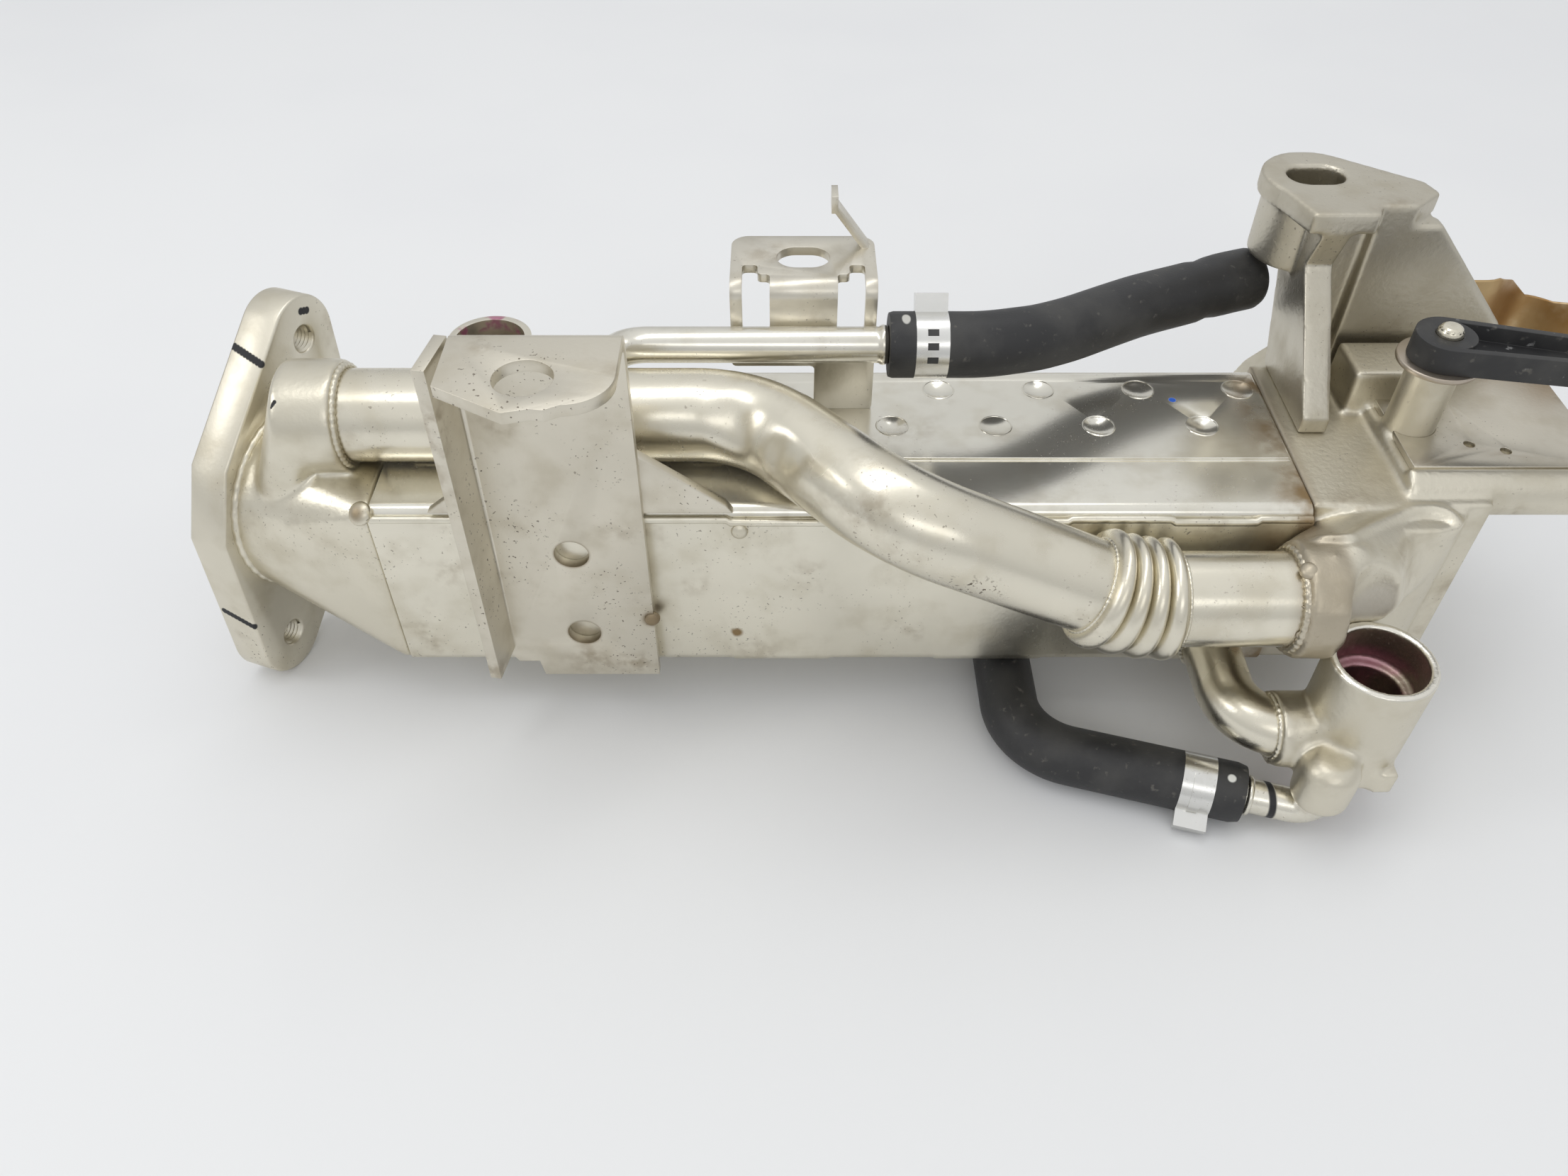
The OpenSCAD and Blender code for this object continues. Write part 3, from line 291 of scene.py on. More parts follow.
# %% Rubber finish
def rubber_finish(name):
    rubber = Finish(name, (0.022, 0.022, 0.023), 0.5, 0.0)
    rubber.coat(rubber.mask(rubber.noise(70, 5), 0.42, 0.72), (0.05, 0.049, 0.047), 0.62)
    rubber.coat(rubber.mask(rubber.noise(420, 4), 0.62, 0.75), (0.1, 0.095, 0.085), 0.75)
    return rubber


black_rubber = rubber_finish("black_rubber")
white_mark = black_rubber.spot((192.8, -2.55, 60.0), 1.5, 0.3, (0.9, 1.5, 1.5))
black_rubber.coat(white_mark, (0.55, 0.54, 0.5), 0.8)
black_rubber.grain(black_rubber.noise(1800, 2), 0.00012, 0.5)
hose_rubber = black_rubber.done()
print(hose_rubber.name)

# %% [markdown]
# The coolant hose is the one free cord of this part: a thick rubber hose pushed on the coolant pipe, with
# its far end cut square and open. It is stiff and keeps its moulded curve, so it is drawn along the CAD
# route and not left to hang. A shallow ring near the open end is where a clamp used to sit.

# %% Coolant hose
HOSE_ROUTE = [(0.1885, -0.0015, 0.051), (0.196, -0.0015, 0.051), (0.204, -0.0015, 0.051),
              (0.212, -0.0015, 0.051), (0.218, -0.0008, 0.051), (0.224, 0.0008, 0.0508),
              (0.23, 0.0031, 0.0502), (0.236, 0.0063, 0.0496), (0.242, 0.01, 0.049),
              (0.249, 0.0149, 0.0483), (0.256, 0.0198, 0.0476), (0.263, 0.0245, 0.0469),
              (0.27, 0.0285, 0.0463), (0.278, 0.0323, 0.046), (0.286, 0.0359, 0.046),
              (0.294, 0.0395, 0.0459), (0.302, 0.043, 0.0455)]
HOSE_R = 9.1
HOSE_BORE_R = 5.4
hose_points = smooth_route([Vector(p) / MM for p in HOSE_ROUTE], 38)
hose_points.insert(1, hose_points[0].lerp(hose_points[1], 0.35))
hose_points.insert(-1, hose_points[-1].lerp(hose_points[-2], 0.35))


def hose_outline(index, count, radius):
    """Radius along a hose: eased ends, and the ring that an old clamp left near the far end."""
    if index in (0, count - 1):
        return radius - 0.35
    from_end = count - 1 - index
    return radius - (0.55 if from_end == 6 else 0.0) + (0.15 if from_end < 5 else 0.0)


hose_outer = [hose_outline(i, len(hose_points), HOSE_R) for i in range(len(hose_points))]
coolant_hose = finish_piece(hollow_tube(hose_points, hose_outer, [HOSE_BORE_R] * len(hose_points), 48),
                            "coolant_hose_rubber", hose_rubber, ["coolant_hose"], sharp=50.0)

# %% [markdown]
# Most of the metal is stainless steel that was brazed with nickel paste in a furnace. It comes out with a
# warm, pale champagne tone, half bright on sheet and tube and sandy on castings, with brown stains where
# paste ran.

# %% Brazed metal finish
STAIN = (0.3, 0.235, 0.15)
SPECK = (0.1, 0.075, 0.05)


def brazed_finish(name, colour, roughness, stains=0.5, specks=0.5, grain=0.00006, lumps=900, metallic=1.0):
    metal = Finish(name, colour, roughness, metallic)
    light = tuple(min(1.0, c * 1.07) for c in colour)
    dark = tuple(c * k for c, k in zip(colour, (0.9, 0.885, 0.85)))
    metal.coat(metal.mask(metal.noise(28, 4), 0.35, 0.7), light, roughness * 0.85)
    metal.coat(metal.mask(metal.noise(75, 5), 0.45, 0.75), dark, roughness * 1.15)
    patches = metal.mask(metal.noise(42, 6), 0.54, 0.74, 0.0, stains)
    metal.coat(metal.times(patches, metal.mask(metal.noise(260, 4), 0.35, 0.65)), STAIN, roughness * 1.25)
    crowd = metal.mask(metal.noise(34, 2), 0.48, 0.62)
    dots = metal.mask(metal.noise(1100, 1), 0.69, 0.73)
    metal.coat(metal.times(metal.times(dots, crowd), specks), SPECK, 0.7, 0.3)
    metal.grain(metal.noise(lumps, 3), grain, 0.6)
    return metal


# %% [markdown]
# A CAD node's mesh is loose triangles with razor edges. A copy is merged, its flat faces are joined
# again, and its sharp edges get a narrow bevel, which is what catches the light along the edge of real
# sheet metal.

# %% Copies with eased edges
def cad_copy(node):
    bm = bmesh.new()
    bm.from_mesh(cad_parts[node].data)
    bmesh.ops.scale(bm, vec=(1 / MM,) * 3, verts=bm.verts)
    bmesh.ops.remove_doubles(bm, verts=bm.verts, dist=0.003)
    return bm


def flatten(bm):
    """Joins the triangles of each flat face again."""
    bmesh.ops.dissolve_limit(bm, angle_limit=math.radians(1.0), verts=bm.verts, edges=bm.edges)


def round_edges(bm, edges, width, segments):
    bmesh.ops.bevel(bm, geom=edges, offset=width, offset_type="OFFSET", segments=segments, profile=0.5,
                    affect="EDGES", clamp_overlap=True, material=-1)


def ease_edges(bm, width, segments=2, limit=32.0):
    flatten(bm)
    sharp = [e for e in bm.edges if e.is_manifold and e.calc_face_angle() > math.radians(limit)]
    round_edges(bm, sharp, width, segments)
    return bm


# %% [markdown]
# A casting has no sharp corner anywhere. A voxel remesh turns the CAD copy into one even skin, and a few
# smoothing passes round every edge and fill every inner corner, as sand and shell moulds do. A bevel
# could not do that where many shapes run into each other.

# %% Copies with cast corners
def cast_copy(bm, voxel, passes):
    mesh = bpy.data.meshes.new("mould")
    bm.to_mesh(mesh)
    bm.free()
    mould = bpy.data.objects.new("mould", mesh)
    bpy.context.scene.collection.objects.link(mould)
    remesh = mould.modifiers.new("skin", "REMESH")
    remesh.mode = "VOXEL"
    remesh.voxel_size = voxel
    skin = bmesh.new()
    skin.from_object(mould, bpy.context.evaluated_depsgraph_get())
    bpy.data.objects.remove(mould)
    bpy.data.meshes.remove(mesh)
    for _ in range(passes):
        bmesh.ops.smooth_vert(skin, verts=skin.verts, factor=0.5, use_axis_x=True, use_axis_y=True,
                              use_axis_z=True)
    return skin


# %% [markdown]
# Places and tones that several pieces share: the corners of the bypass pipe, as in the CAD model, and the
# tones of brazed sheet, tube and casting, of heat tint, marker ink and dried coolant.

# %% Shared places and tones
PIPE_R, PIPE_WALL, PIPE_BEND, SPIGOT_X = 12.8, 1.2, 36.0, 40.0
BYPASS = [Vector(p) for p in ((30.0, -17.0, 38.5), (151.0, -17.0, 38.5), (189.0, -58.0, 37.0),
                              (251.0, -61.0, 11.0))]
BELLOWS_HALF = 12.0
TAIL_END = Vector((301.0, -61.0, 11.0))
BELLOWS = (BYPASS[3] - (BYPASS[3] - BYPASS[2]).normalized() * BELLOWS_HALF,
           BYPASS[3] + Vector((BELLOWS_HALF, 0, 0)))
SHEET = (0.74, 0.705, 0.6)
TUBE = (0.75, 0.71, 0.6)
CASTING = (0.69, 0.65, 0.545)
HEAT_BROWN = (0.3, 0.21, 0.11)
MARKER = (0.012, 0.012, 0.014)
COOLANT_PINK = (0.5, 0.2, 0.3)
tube_bright = brazed_finish("bright_tube", TUBE, 0.24, 0.3, 0.3, 0.00003).done()
print("bellows", [tuple(round(c, 1) for c in end) for end in BELLOWS])

# %% [markdown]
# Three small tools for the handwork on a skin: a press that pushes metal in or out round a point, a weld
# bead run round a pipe, and a round tack weld. A sculpt brush could do the first, but a formula can be
# repeated.

# %% Handwork helpers
def press(bm, centre, reach, push):
    """Moves the skin round a point by push, most in the middle and nothing beyond reach."""
    for vert in bm.verts:
        near = 1 - (vert.co - Vector(centre)).length / reach
        if near > 0:
            vert.co += Vector(push) * near * near * (3 - 2 * near)


def bead_ring(bm, centre, axis, radius, thick, ripples=41):
    """Weld bead round a pipe, with the ripples of the welder's pulses, or a smooth ring with none."""
    centre, axis = Vector(centre), Vector(axis).normalized()
    side = axis.orthogonal().normalized()
    stand = Matrix((side, axis, side.cross(axis))).transposed().to_4x4()
    before = set(bm.verts)
    ring = bmesh.ops.create_circle(bm, segments=10, radius=thick,
                                   matrix=Matrix.Translation(centre + side * radius) @ stand)["verts"]
    edges = list({e for v in ring for e in v.link_edges})
    bmesh.ops.spin(bm, geom=ring + edges, cent=centre, axis=axis, angle=2 * math.pi,
                   steps=4 * max(ripples, 15), use_merge=True)
    for vert in (v for v in bm.verts if v not in before):
        out = vert.co - centre
        out -= axis * out.dot(axis)
        angle = math.atan2(out.dot(side.cross(axis)), out.dot(side))
        vert.co += (vert.co - centre - out.normalized() * radius) * 0.12 * math.sin(ripples * angle)


def tack(bm, place, size, normal):
    """Round tack weld, a flattened ball of metal."""
    lie = Vector((0, 0, 1)).rotation_difference(Vector(normal)).to_matrix().to_4x4()
    bmesh.ops.create_icosphere(bm, subdivisions=3, radius=size,
                               matrix=Matrix.Translation(place) @ lie @ Matrix.Diagonal((1, 1, 0.6, 1)))


# %% [markdown]
# The inlet flange is a thick plate, cut to a two-bolt outline and drilled and tapped at both ends. The
# CAD bores stand for the thread's inner diameter, so the thread itself is added here: one tooth is turned
# round the bore and moved along it at the same time, which is how a tap cuts it. Two black strokes are a
# fitter's marker.

# %% Inlet flange
FLANGE_YAW, FLANGE_LEAN, FLANGE_PITCH, FLANGE_T = 20.0, 62.0, 93.0, 12.0
THREAD_R, THREAD_STEP, THREAD_TURNS, TURN_STEPS = 4.05, 1.25, 8, 24
flange_axis = Matrix.Rotation(math.radians(-FLANGE_YAW), 3, "Z") @ Vector((1, 0, 0))
flange_side = Matrix.Rotation(math.radians(-FLANGE_YAW), 3, "Z") @ Vector((0, 1, 0))
flange_up = Vector((0, 0, 1))
lean = math.radians(FLANGE_LEAN)
bolt_way = flange_side * math.cos(lean) + flange_up * math.sin(lean)

flange_bm = ease_edges(cad_copy("inlet_flange"), 0.8)
for sign in (-1, 1):
    bolt = bolt_way * sign * FLANGE_PITCH / 2
    tooth = [bolt + flange_axis * (0.3 + THREAD_STEP * k / 2) + flange_side * r
             for k, r in enumerate((THREAD_R, THREAD_R - 0.6, THREAD_R))]
    verts = [flange_bm.verts.new(p) for p in tooth]
    edges = [flange_bm.edges.new(pair) for pair in zip(verts, verts[1:])]
    bmesh.ops.spin(flange_bm, geom=verts + edges, cent=bolt, axis=flange_axis,
                   angle=2 * math.pi * THREAD_TURNS, dvec=flange_axis * THREAD_STEP / TURN_STEPS,
                   steps=TURN_STEPS * THREAD_TURNS)
flange_coat = brazed_finish("flange_steel", (0.7, 0.66, 0.555), 0.4, 0.5, 0.9)
for a, b in (((3.0, 5.6, 45.8), (12.0, -0.4, 43.8)), ((-9.5, -32.6, -23.0), (-0.8, -36.0, -26.6)),
             ((19.4, 18.4, 49.2), (20.2, 20.6, 48.2))):
    flange_coat.coat(flange_coat.stroke(a, b, 1.3), MARKER, 0.6, 0.0)
finish_piece(flange_bm, "inlet_flange_tapped", flange_coat.done(), ["inlet_flange"])

# %% [markdown]
# The inlet cone leads the gas from the round port into the flat core and carries the spigot of the bypass
# pipe. It is pressed or cast in two halves, so a low parting ridge runs along its side. The skin comes
# from the voxel copy, and the ridge and the weld bead at the flange are worked on it.

# %% Inlet cone
cone_bm = cast_copy(cad_copy("inlet_cone"), 0.9, 8)
for i in range(9):
    press(cone_bm, (20 + 3 * i, -36.5 - 0.8 * i, 13.5 + 1.3 * i), 3.2, (0.0, -0.7, 0.35))
bead_ring(cone_bm, flange_axis * (FLANGE_T + 0.6), flange_axis, 27.6, 1.3)
bead_ring(cone_bm, (SPIGOT_X, BYPASS[0].y, BYPASS[0].z), (1, 0, 0), PIPE_R + 0.7, 1.0)
tack(cone_bm, (45.0, -40.9, 23.4), 3.4, (-0.3, -0.6, 0.7))
cone_coat = brazed_finish("cone_metal", (0.7, 0.66, 0.55), 0.36, 0.4, 0.4, 0.0001, 800)
cone_coat.coat(cone_coat.stroke((24.2, -28.4, 49.0), (25.6, -27.0, 50.2), 0.7), MARKER, 0.6, 0.0)
cone_coat.coat(cone_coat.spot((45.0, -41.0, 23.4), 3.4, 0.5), STAIN, 0.5)
finish_piece(cone_bm, "inlet_cone_shell", cone_coat.done(), ["inlet_cone"], sharp=180.0)

# %% [markdown]
# The core is a box of two folded sheets. The lower one, the tray, has shallow upright panels pressed into
# its front wall, which stiffen it, and a rolled lip along its top edge. The wall is cut at the panel
# edges and each panel is moved out by half a millimetre; a displacement map would blur those crisp steps.

# %% Core tray
CORE_FRONT, CORE_TOP_EDGE, CORE_START, CORE_END = -42.6, 21.7, 47.0, 303.0
PANELS = ((144.5, 173.5), (205.0, 237.0), (265.0, 288.0))
PANEL_DEPTH, PANEL_SLOPE, LIP_R = 0.5, 1.0, 1.15


def panel_rise(x):
    """How far the front wall stands out at x."""
    rise = 0.0
    for low, high in PANELS:
        inside = min(x - low, high - x) / PANEL_SLOPE + 0.5
        rise = max(rise, min(max(inside, 0.0), 1.0))
    return PANEL_DEPTH * rise


tray_bm = ease_edges(cad_copy("core_tray"), 0.4)
for edge in (x + s * PANEL_SLOPE / 2 for pair in PANELS for x in pair for s in (-1, 1)):
    bmesh.ops.bisect_plane(tray_bm, geom=tray_bm.verts[:] + tray_bm.edges[:] + tray_bm.faces[:],
                           plane_co=(edge, 0, 0), plane_no=(1, 0, 0), dist=0.0001)
for vert in tray_bm.verts:
    if vert.co.y < CORE_FRONT + 2.0:
        vert.co.y -= panel_rise(vert.co.x)
lip_ends = [CORE_START + 1] + [x for pair in PANELS for x in pair] + [CORE_END - 1]
lip = [Vector((x + s, CORE_FRONT + 0.9 - panel_rise(x + s), CORE_TOP_EDGE + 0.3 - 1.2 * panel_rise(x + s)))
       for x in lip_ends for s in (-0.6, 0.6)]
lip_route = filled_route(lip, 4.0)
draw_tube(tray_bm, lip_route, [LIP_R] * len(lip_route), 12)
tack(tray_bm, (147.5, CORE_FRONT - 0.4, 19.0), 2.4, (0, -1, 0.2))
tray_coat = brazed_finish("tray_sheet", SHEET, 0.36, 0.55, 0.6)
right_end = tray_coat.mask(tray_coat.axis("X"), 0.284, 0.302)
tint_clouds = tray_coat.mask(tray_coat.noise(90, 4), 0.3, 0.6)
tray_coat.coat(tray_coat.times(right_end, tint_clouds), HEAT_BROWN, 0.45)
tray_coat.coat(tray_coat.spot((145.7, CORE_FRONT - 0.5, -21.3), 2.4, 0.6), HEAT_BROWN, 0.5)
finish_piece(tray_bm, "core_tray_sheet", tray_coat.done(), ["core_tray"])

# %% [markdown]
# The lid is the brighter sheet: a plain band along its front, a step, and a field with two rows of
# pressed dishes. Its CAD solid already has them, so an eased copy is enough, and the work goes into the
# finish: a nearly clean bright metal with a brown heat tint at its hot end and a blue dot of paint.

# %% Core lid
FIELD_TOP, DISH_R, DISH_PITCH = 25.5, 4.5, 30.0
DISH_ROWS = ((191.0, -4.84), (206.0, 13.02))
lid_coat = brazed_finish("lid_sheet", (0.78, 0.755, 0.675), 0.2, 0.2, 0.25, 0.00001, 900, 0.86)
hot_end = lid_coat.mask(lid_coat.axis("X"), 0.287, 0.302)
lid_coat.coat(lid_coat.times(hot_end, lid_coat.mask(lid_coat.noise(80, 4), 0.35, 0.65)), HEAT_BROWN, 0.4)
lid_coat.coat(lid_coat.spot((275.2, 7.8, 25.5), 1.3, 0.3), (0.02, 0.12, 0.6), 0.4, 0.0)
lid_bm = ease_edges(cad_copy("core_lid"), 0.25)
for first_x, row_y in DISH_ROWS:
    for i in range(4):
        dish = (first_x + DISH_PITCH * i, row_y, FIELD_TOP - 0.05)
        bead_ring(lid_bm, dish, (0, 0, 1), DISH_R + 0.1, 0.25, 0)
finish_piece(lid_bm, "core_lid_sheet", lid_coat.done(), ["core_lid"], sharp=12.0)

# %% [markdown]
# The bypass pipe carries hot gas round the core. It is bent from one tube, and the inside of its first
# bend is creased, as thin tube is when it is bent tightly. The tube is drawn along the same corners as
# the CAD model and then pressed in twice at the crease.

# %% Bypass pipe
pipe_route = filled_route(bent_route(BYPASS[:3] + [BELLOWS[0]], PIPE_BEND, 3.0), 3.0)
pipe_bm = hollow_tube(pipe_route, [PIPE_R] * len(pipe_route), [PIPE_R - PIPE_WALL] * len(pipe_route), 64)
press(pipe_bm, (150.0, -31.5, 45.5), 13.0, (0.3, 1.5, -1.2))
press(pipe_bm, (158.5, -41.0, 44.0), 9.0, (0.8, 0.9, -0.9))
press(pipe_bm, (141.0, -30.0, 42.0), 9.0, (0.0, -0.5, 0.2))
bead_ring(pipe_bm, BELLOWS[0], BELLOWS[0] - BYPASS[2], PIPE_R + 0.1, 0.5, 53)
pipe_coat = brazed_finish("pipe_tube", TUBE, 0.27, 0.5, 0.5, 0.00003)
pipe_coat.coat(pipe_coat.times(pipe_coat.spot((206.0, -71.5, 25.0), 13.0, 0.8, (1.0, 0.5, 0.5)),
                               pipe_coat.mask(pipe_coat.noise(1000, 2), 0.58, 0.66)), SPECK, 0.6, 0.4)
finish_piece(pipe_bm, "bypass_pipe_bent", pipe_coat.done(), ["bypass_pipe"], sharp=60.0)

# %% [markdown]
# Four thin folds let the pipe grow when it gets hot. A bellows is formed by water pressure inside a die,
# which leaves full round crests and narrow valleys, so each fold here is half a circle in section.

# %% Bellows and tail
FOLDS, FOLD_H, FOLD_STEPS = 4, 3.6, 14


def fold_height(t):
    """Height of the bellows above the pipe at t, from 0 at its start to 1 at its end."""
    across = (t * FOLDS) % 1.0 * 2 - 1
    return FOLD_H * math.sqrt(max(0.0, 1 - across * across)) ** 0.9


def bellows_point(t):
    """Point on the bellows' curve from one end, past the pipe's corner, to the other end."""
    return BELLOWS[0].lerp(BYPASS[3], t).lerp(BYPASS[3].lerp(BELLOWS[1], t), t)


steps = FOLDS * FOLD_STEPS
bellows_route = [bellows_point(i / steps) for i in range(steps + 1)]
bellows_outer = [PIPE_R + fold_height(i / steps) for i in range(steps + 1)]
bellows_bm = hollow_tube(bellows_route, bellows_outer, [r - PIPE_WALL / 2 for r in bellows_outer], 64)
finish_piece(bellows_bm, "bypass_bellows_folds", brazed_finish("bellows_sheet", TUBE, 0.3, 0.6, 0.4).done(),
             ["bypass_bellows"], sharp=80.0)
tail_route = filled_route([BELLOWS[1], TAIL_END], 2.0)
tail_bm = hollow_tube(tail_route, [PIPE_R] * len(tail_route), [PIPE_R - PIPE_WALL] * len(tail_route), 64)
bead_ring(tail_bm, BELLOWS[1] + Vector((0.6, 0, 0)), (1, 0, 0), PIPE_R + 0.1, 0.5, 53)
bead_ring(tail_bm, (293.4, TAIL_END.y, TAIL_END.z), (1, 0, 0), PIPE_R + 0.5, 1.2, 37)
tail_coat = brazed_finish("tail_tube", TUBE, 0.26, 0.4, 0.3, 0.00003)
tail_coat.coat(tail_coat.mask(tail_coat.axis("X"), 0.288, 0.294, 0.0, 0.5), STAIN, 0.4)
finish_piece(tail_bm, "bypass_tail_tube", tail_coat.done(), ["bypass_tail"], sharp=60.0)

# %% [markdown]
# The front bracket is a folded plate, welded to the core through two holes, with a tab for the engine's
# bolt and a stiff flange down its left side. A press brake leaves a wide radius at each fold and a thin
# eased line at each cut edge, so the folds are bevelled first and wider, then the slivers they leave are
# merged, and the cut edges come last.

# %% Front bracket and its stiffener
TAB_TOP, BRACKET_T, FOLD_X = 83.0, 3.2, 80.47


def along_x_at(edge, y, z):
    """True for an edge that runs along X at this place."""
    return all(abs(v.co.y - y) < 0.02 and abs(v.co.z - z) < 0.02 for v in edge.verts)


def upright_at(edge, x, y):
    """True for an edge that stands upright at this place."""
    return all(abs(v.co.x - x) < 0.15 and abs(v.co.y - y) < 0.02 for v in edge.verts)


BRACKET_FRONT = CORE_FRONT - BRACKET_T
bracket_bm = cad_copy("front_bracket")
bmesh.ops.remove_doubles(bracket_bm, verts=bracket_bm.verts, dist=0.15)
flatten(bracket_bm)
round_edges(bracket_bm, [e for e in bracket_bm.edges if along_x_at(e, CORE_FRONT, TAB_TOP)], 4.5, 6)
round_edges(bracket_bm, [e for e in bracket_bm.edges
                         if along_x_at(e, BRACKET_FRONT, TAB_TOP - BRACKET_T)], 1.6, 3)
round_edges(bracket_bm, [e for e in bracket_bm.edges if upright_at(e, FOLD_X, BRACKET_FRONT)], 2.2, 4)
bmesh.ops.remove_doubles(bracket_bm, verts=bracket_bm.verts, dist=0.12)
bmesh.ops.dissolve_degenerate(bracket_bm, edges=bracket_bm.edges, dist=0.05)
flatten(bracket_bm)
ease_edges(bracket_bm, 0.3, 2)
tack(bracket_bm, (121.6, BRACKET_FRONT + 0.3, -12.9), 2.3, (0.3, -1, 0.2))
bracket_coat = brazed_finish("bracket_sheet", (0.69, 0.65, 0.555), 0.42, 0.6, 0.8)
bracket_coat.coat(bracket_coat.spot((121.6, BRACKET_FRONT, -12.9), 4.0, 0.6), STAIN, 0.5)
for hole_z in (12.7, -18.5):
    bracket_coat.coat(bracket_coat.spot((101.4, BRACKET_FRONT, hole_z), 5.6, 0.25), STAIN, 0.5)
bracket_finish = bracket_coat.done()
finish_piece(bracket_bm, "front_bracket_folded", bracket_finish, ["front_bracket"])
finish_piece(ease_edges(cad_copy("bracket_stiffener"), 0.5), "stiffener_plate", bracket_finish,
             ["bracket_stiffener"])

# %% [markdown]
# The rear bracket is bent from one blank: a top plate with an oval hole, a web that goes down to the lid,
# and two windows punched across the fold, which leave a strap on each side. Its window corners are
# rounded like a punch's, and its clip finger is bent up from the plate's corner.

# %% Rear bracket
REAR_TOP, WEB_FRONT, REAR_T = 66.5, 3.5, 0.8 * BRACKET_T
rear_bm = cad_copy("rear_bracket")
flatten(rear_bm)
corners = [e for e in rear_bm.edges if abs(e.calc_length() - REAR_T) < 0.1
           and e.calc_face_angle(0.0) > 1.0 and abs(e.verts[0].co.x - e.verts[1].co.x) < 0.01]
round_edges(rear_bm, corners, 1.3, 4)
round_edges(rear_bm, [e for e in rear_bm.edges if along_x_at(e, WEB_FRONT, REAR_TOP)], 4.5, 6)
round_edges(rear_bm, [e for e in rear_bm.edges
                      if along_x_at(e, WEB_FRONT + REAR_T, REAR_TOP - REAR_T)], 1.9, 4)
ease_edges(rear_bm, 0.3, 2)
rear_coat = brazed_finish("rear_sheet", (0.68, 0.645, 0.56), 0.36, 0.4, 0.4)
finish_piece(rear_bm, "rear_bracket_folded", rear_coat.done(), ["rear_bracket"])

# %% [markdown]
# The outlet cup on the lid takes a plug-in coolant connector. It is turned from bar; its inside has gone
# brown, and dried coolant has left pink tints on its rim. The thin coolant pipe leaves its side, rises
# past the rear bracket and ends in a rolled bead that holds the hose.

# %% Outlet cup and coolant pipe
WATER_R, WATER_WALL, WATER_BEND = 5.0, 1.0, 11.0
cup_coat = brazed_finish("cup_metal", (0.7, 0.665, 0.57), 0.36, 0.4, 0.4)
cup_coat.coat(cup_coat.spot((75.0, 9.8, 36.0), 10.5, 0.2), (0.32, 0.2, 0.14), 0.45)
seat = cup_coat.spot((75.0, 9.8, 44.7), 15.0, 0.3, (1.0, 1.0, 0.3))
cup_coat.coat(cup_coat.times(seat, cup_coat.mask(cup_coat.noise(150, 3), 0.5, 0.62)), COOLANT_PINK, 0.5)
finish_piece(ease_edges(cad_copy("coolant_outlet_cup"), 0.5, 3), "outlet_cup_turned", cup_coat.done(),
             ["coolant_outlet_cup"])
pipe_corners = [(85.0, 9.8, 34.5), (99.0, 9.8, 34.5), (117.0, -1.5, 51.0), (185.0, -1.5, 51.0)]
BEAD = ((185.8, 0.0), (186.3, 0.35), (187.0, 0.55), (187.7, 0.35), (188.2, 0.0), (209.0, 0.0))
water_route = filled_route(bent_route(pipe_corners, WATER_BEND, 5.0), 3.0)
water_outer = [WATER_R] * len(water_route) + [WATER_R + rise for _, rise in BEAD]
water_route += [Vector((x, -1.5, 51.0)) for x, _ in BEAD]
water_bm = hollow_tube(water_route, water_outer, [WATER_R - WATER_WALL] * len(water_route), 40)
water_coat = brazed_finish("water_tube", (0.76, 0.735, 0.66), 0.24, 0.3, 0.3, 0.00002)
finish_piece(water_bm, "coolant_pipe_bent", water_coat.done(), ["coolant_pipe"], sharp=50.0)

# %% [markdown]
# Each hose is held by a spring band: a strip of steel rolled to a ring, with a folded ear and a row of
# punched windows. A strip is turned round the hose, the window faces are taken out of it, the ear is
# pulled up from the top, a low tongue is raised where there is one, and the strip is given its thickness
# last, so every hole gets real walls.

# %% Hose clamps
CLAMP_W, CLAMP_T, CLAMP_STEPS, STRIP_HALF = 9.0, 0.5, 60, 1.5
EAR_HALF, EAR_RISE, EAR_FLARE, TONGUE_RISE = 14.0, 4.8, 1.15, 0.35


def lift_faces(bm, faces):
    """Pulls a patch of the band up on walls of its own and gives back its corners."""
    pulled = bmesh.ops.extrude_face_region(bm, geom=faces)["geom"]
    bmesh.ops.delete(bm, geom=faces, context="FACES")
    return [g for g in pulled if isinstance(g, bmesh.types.BMVert)]


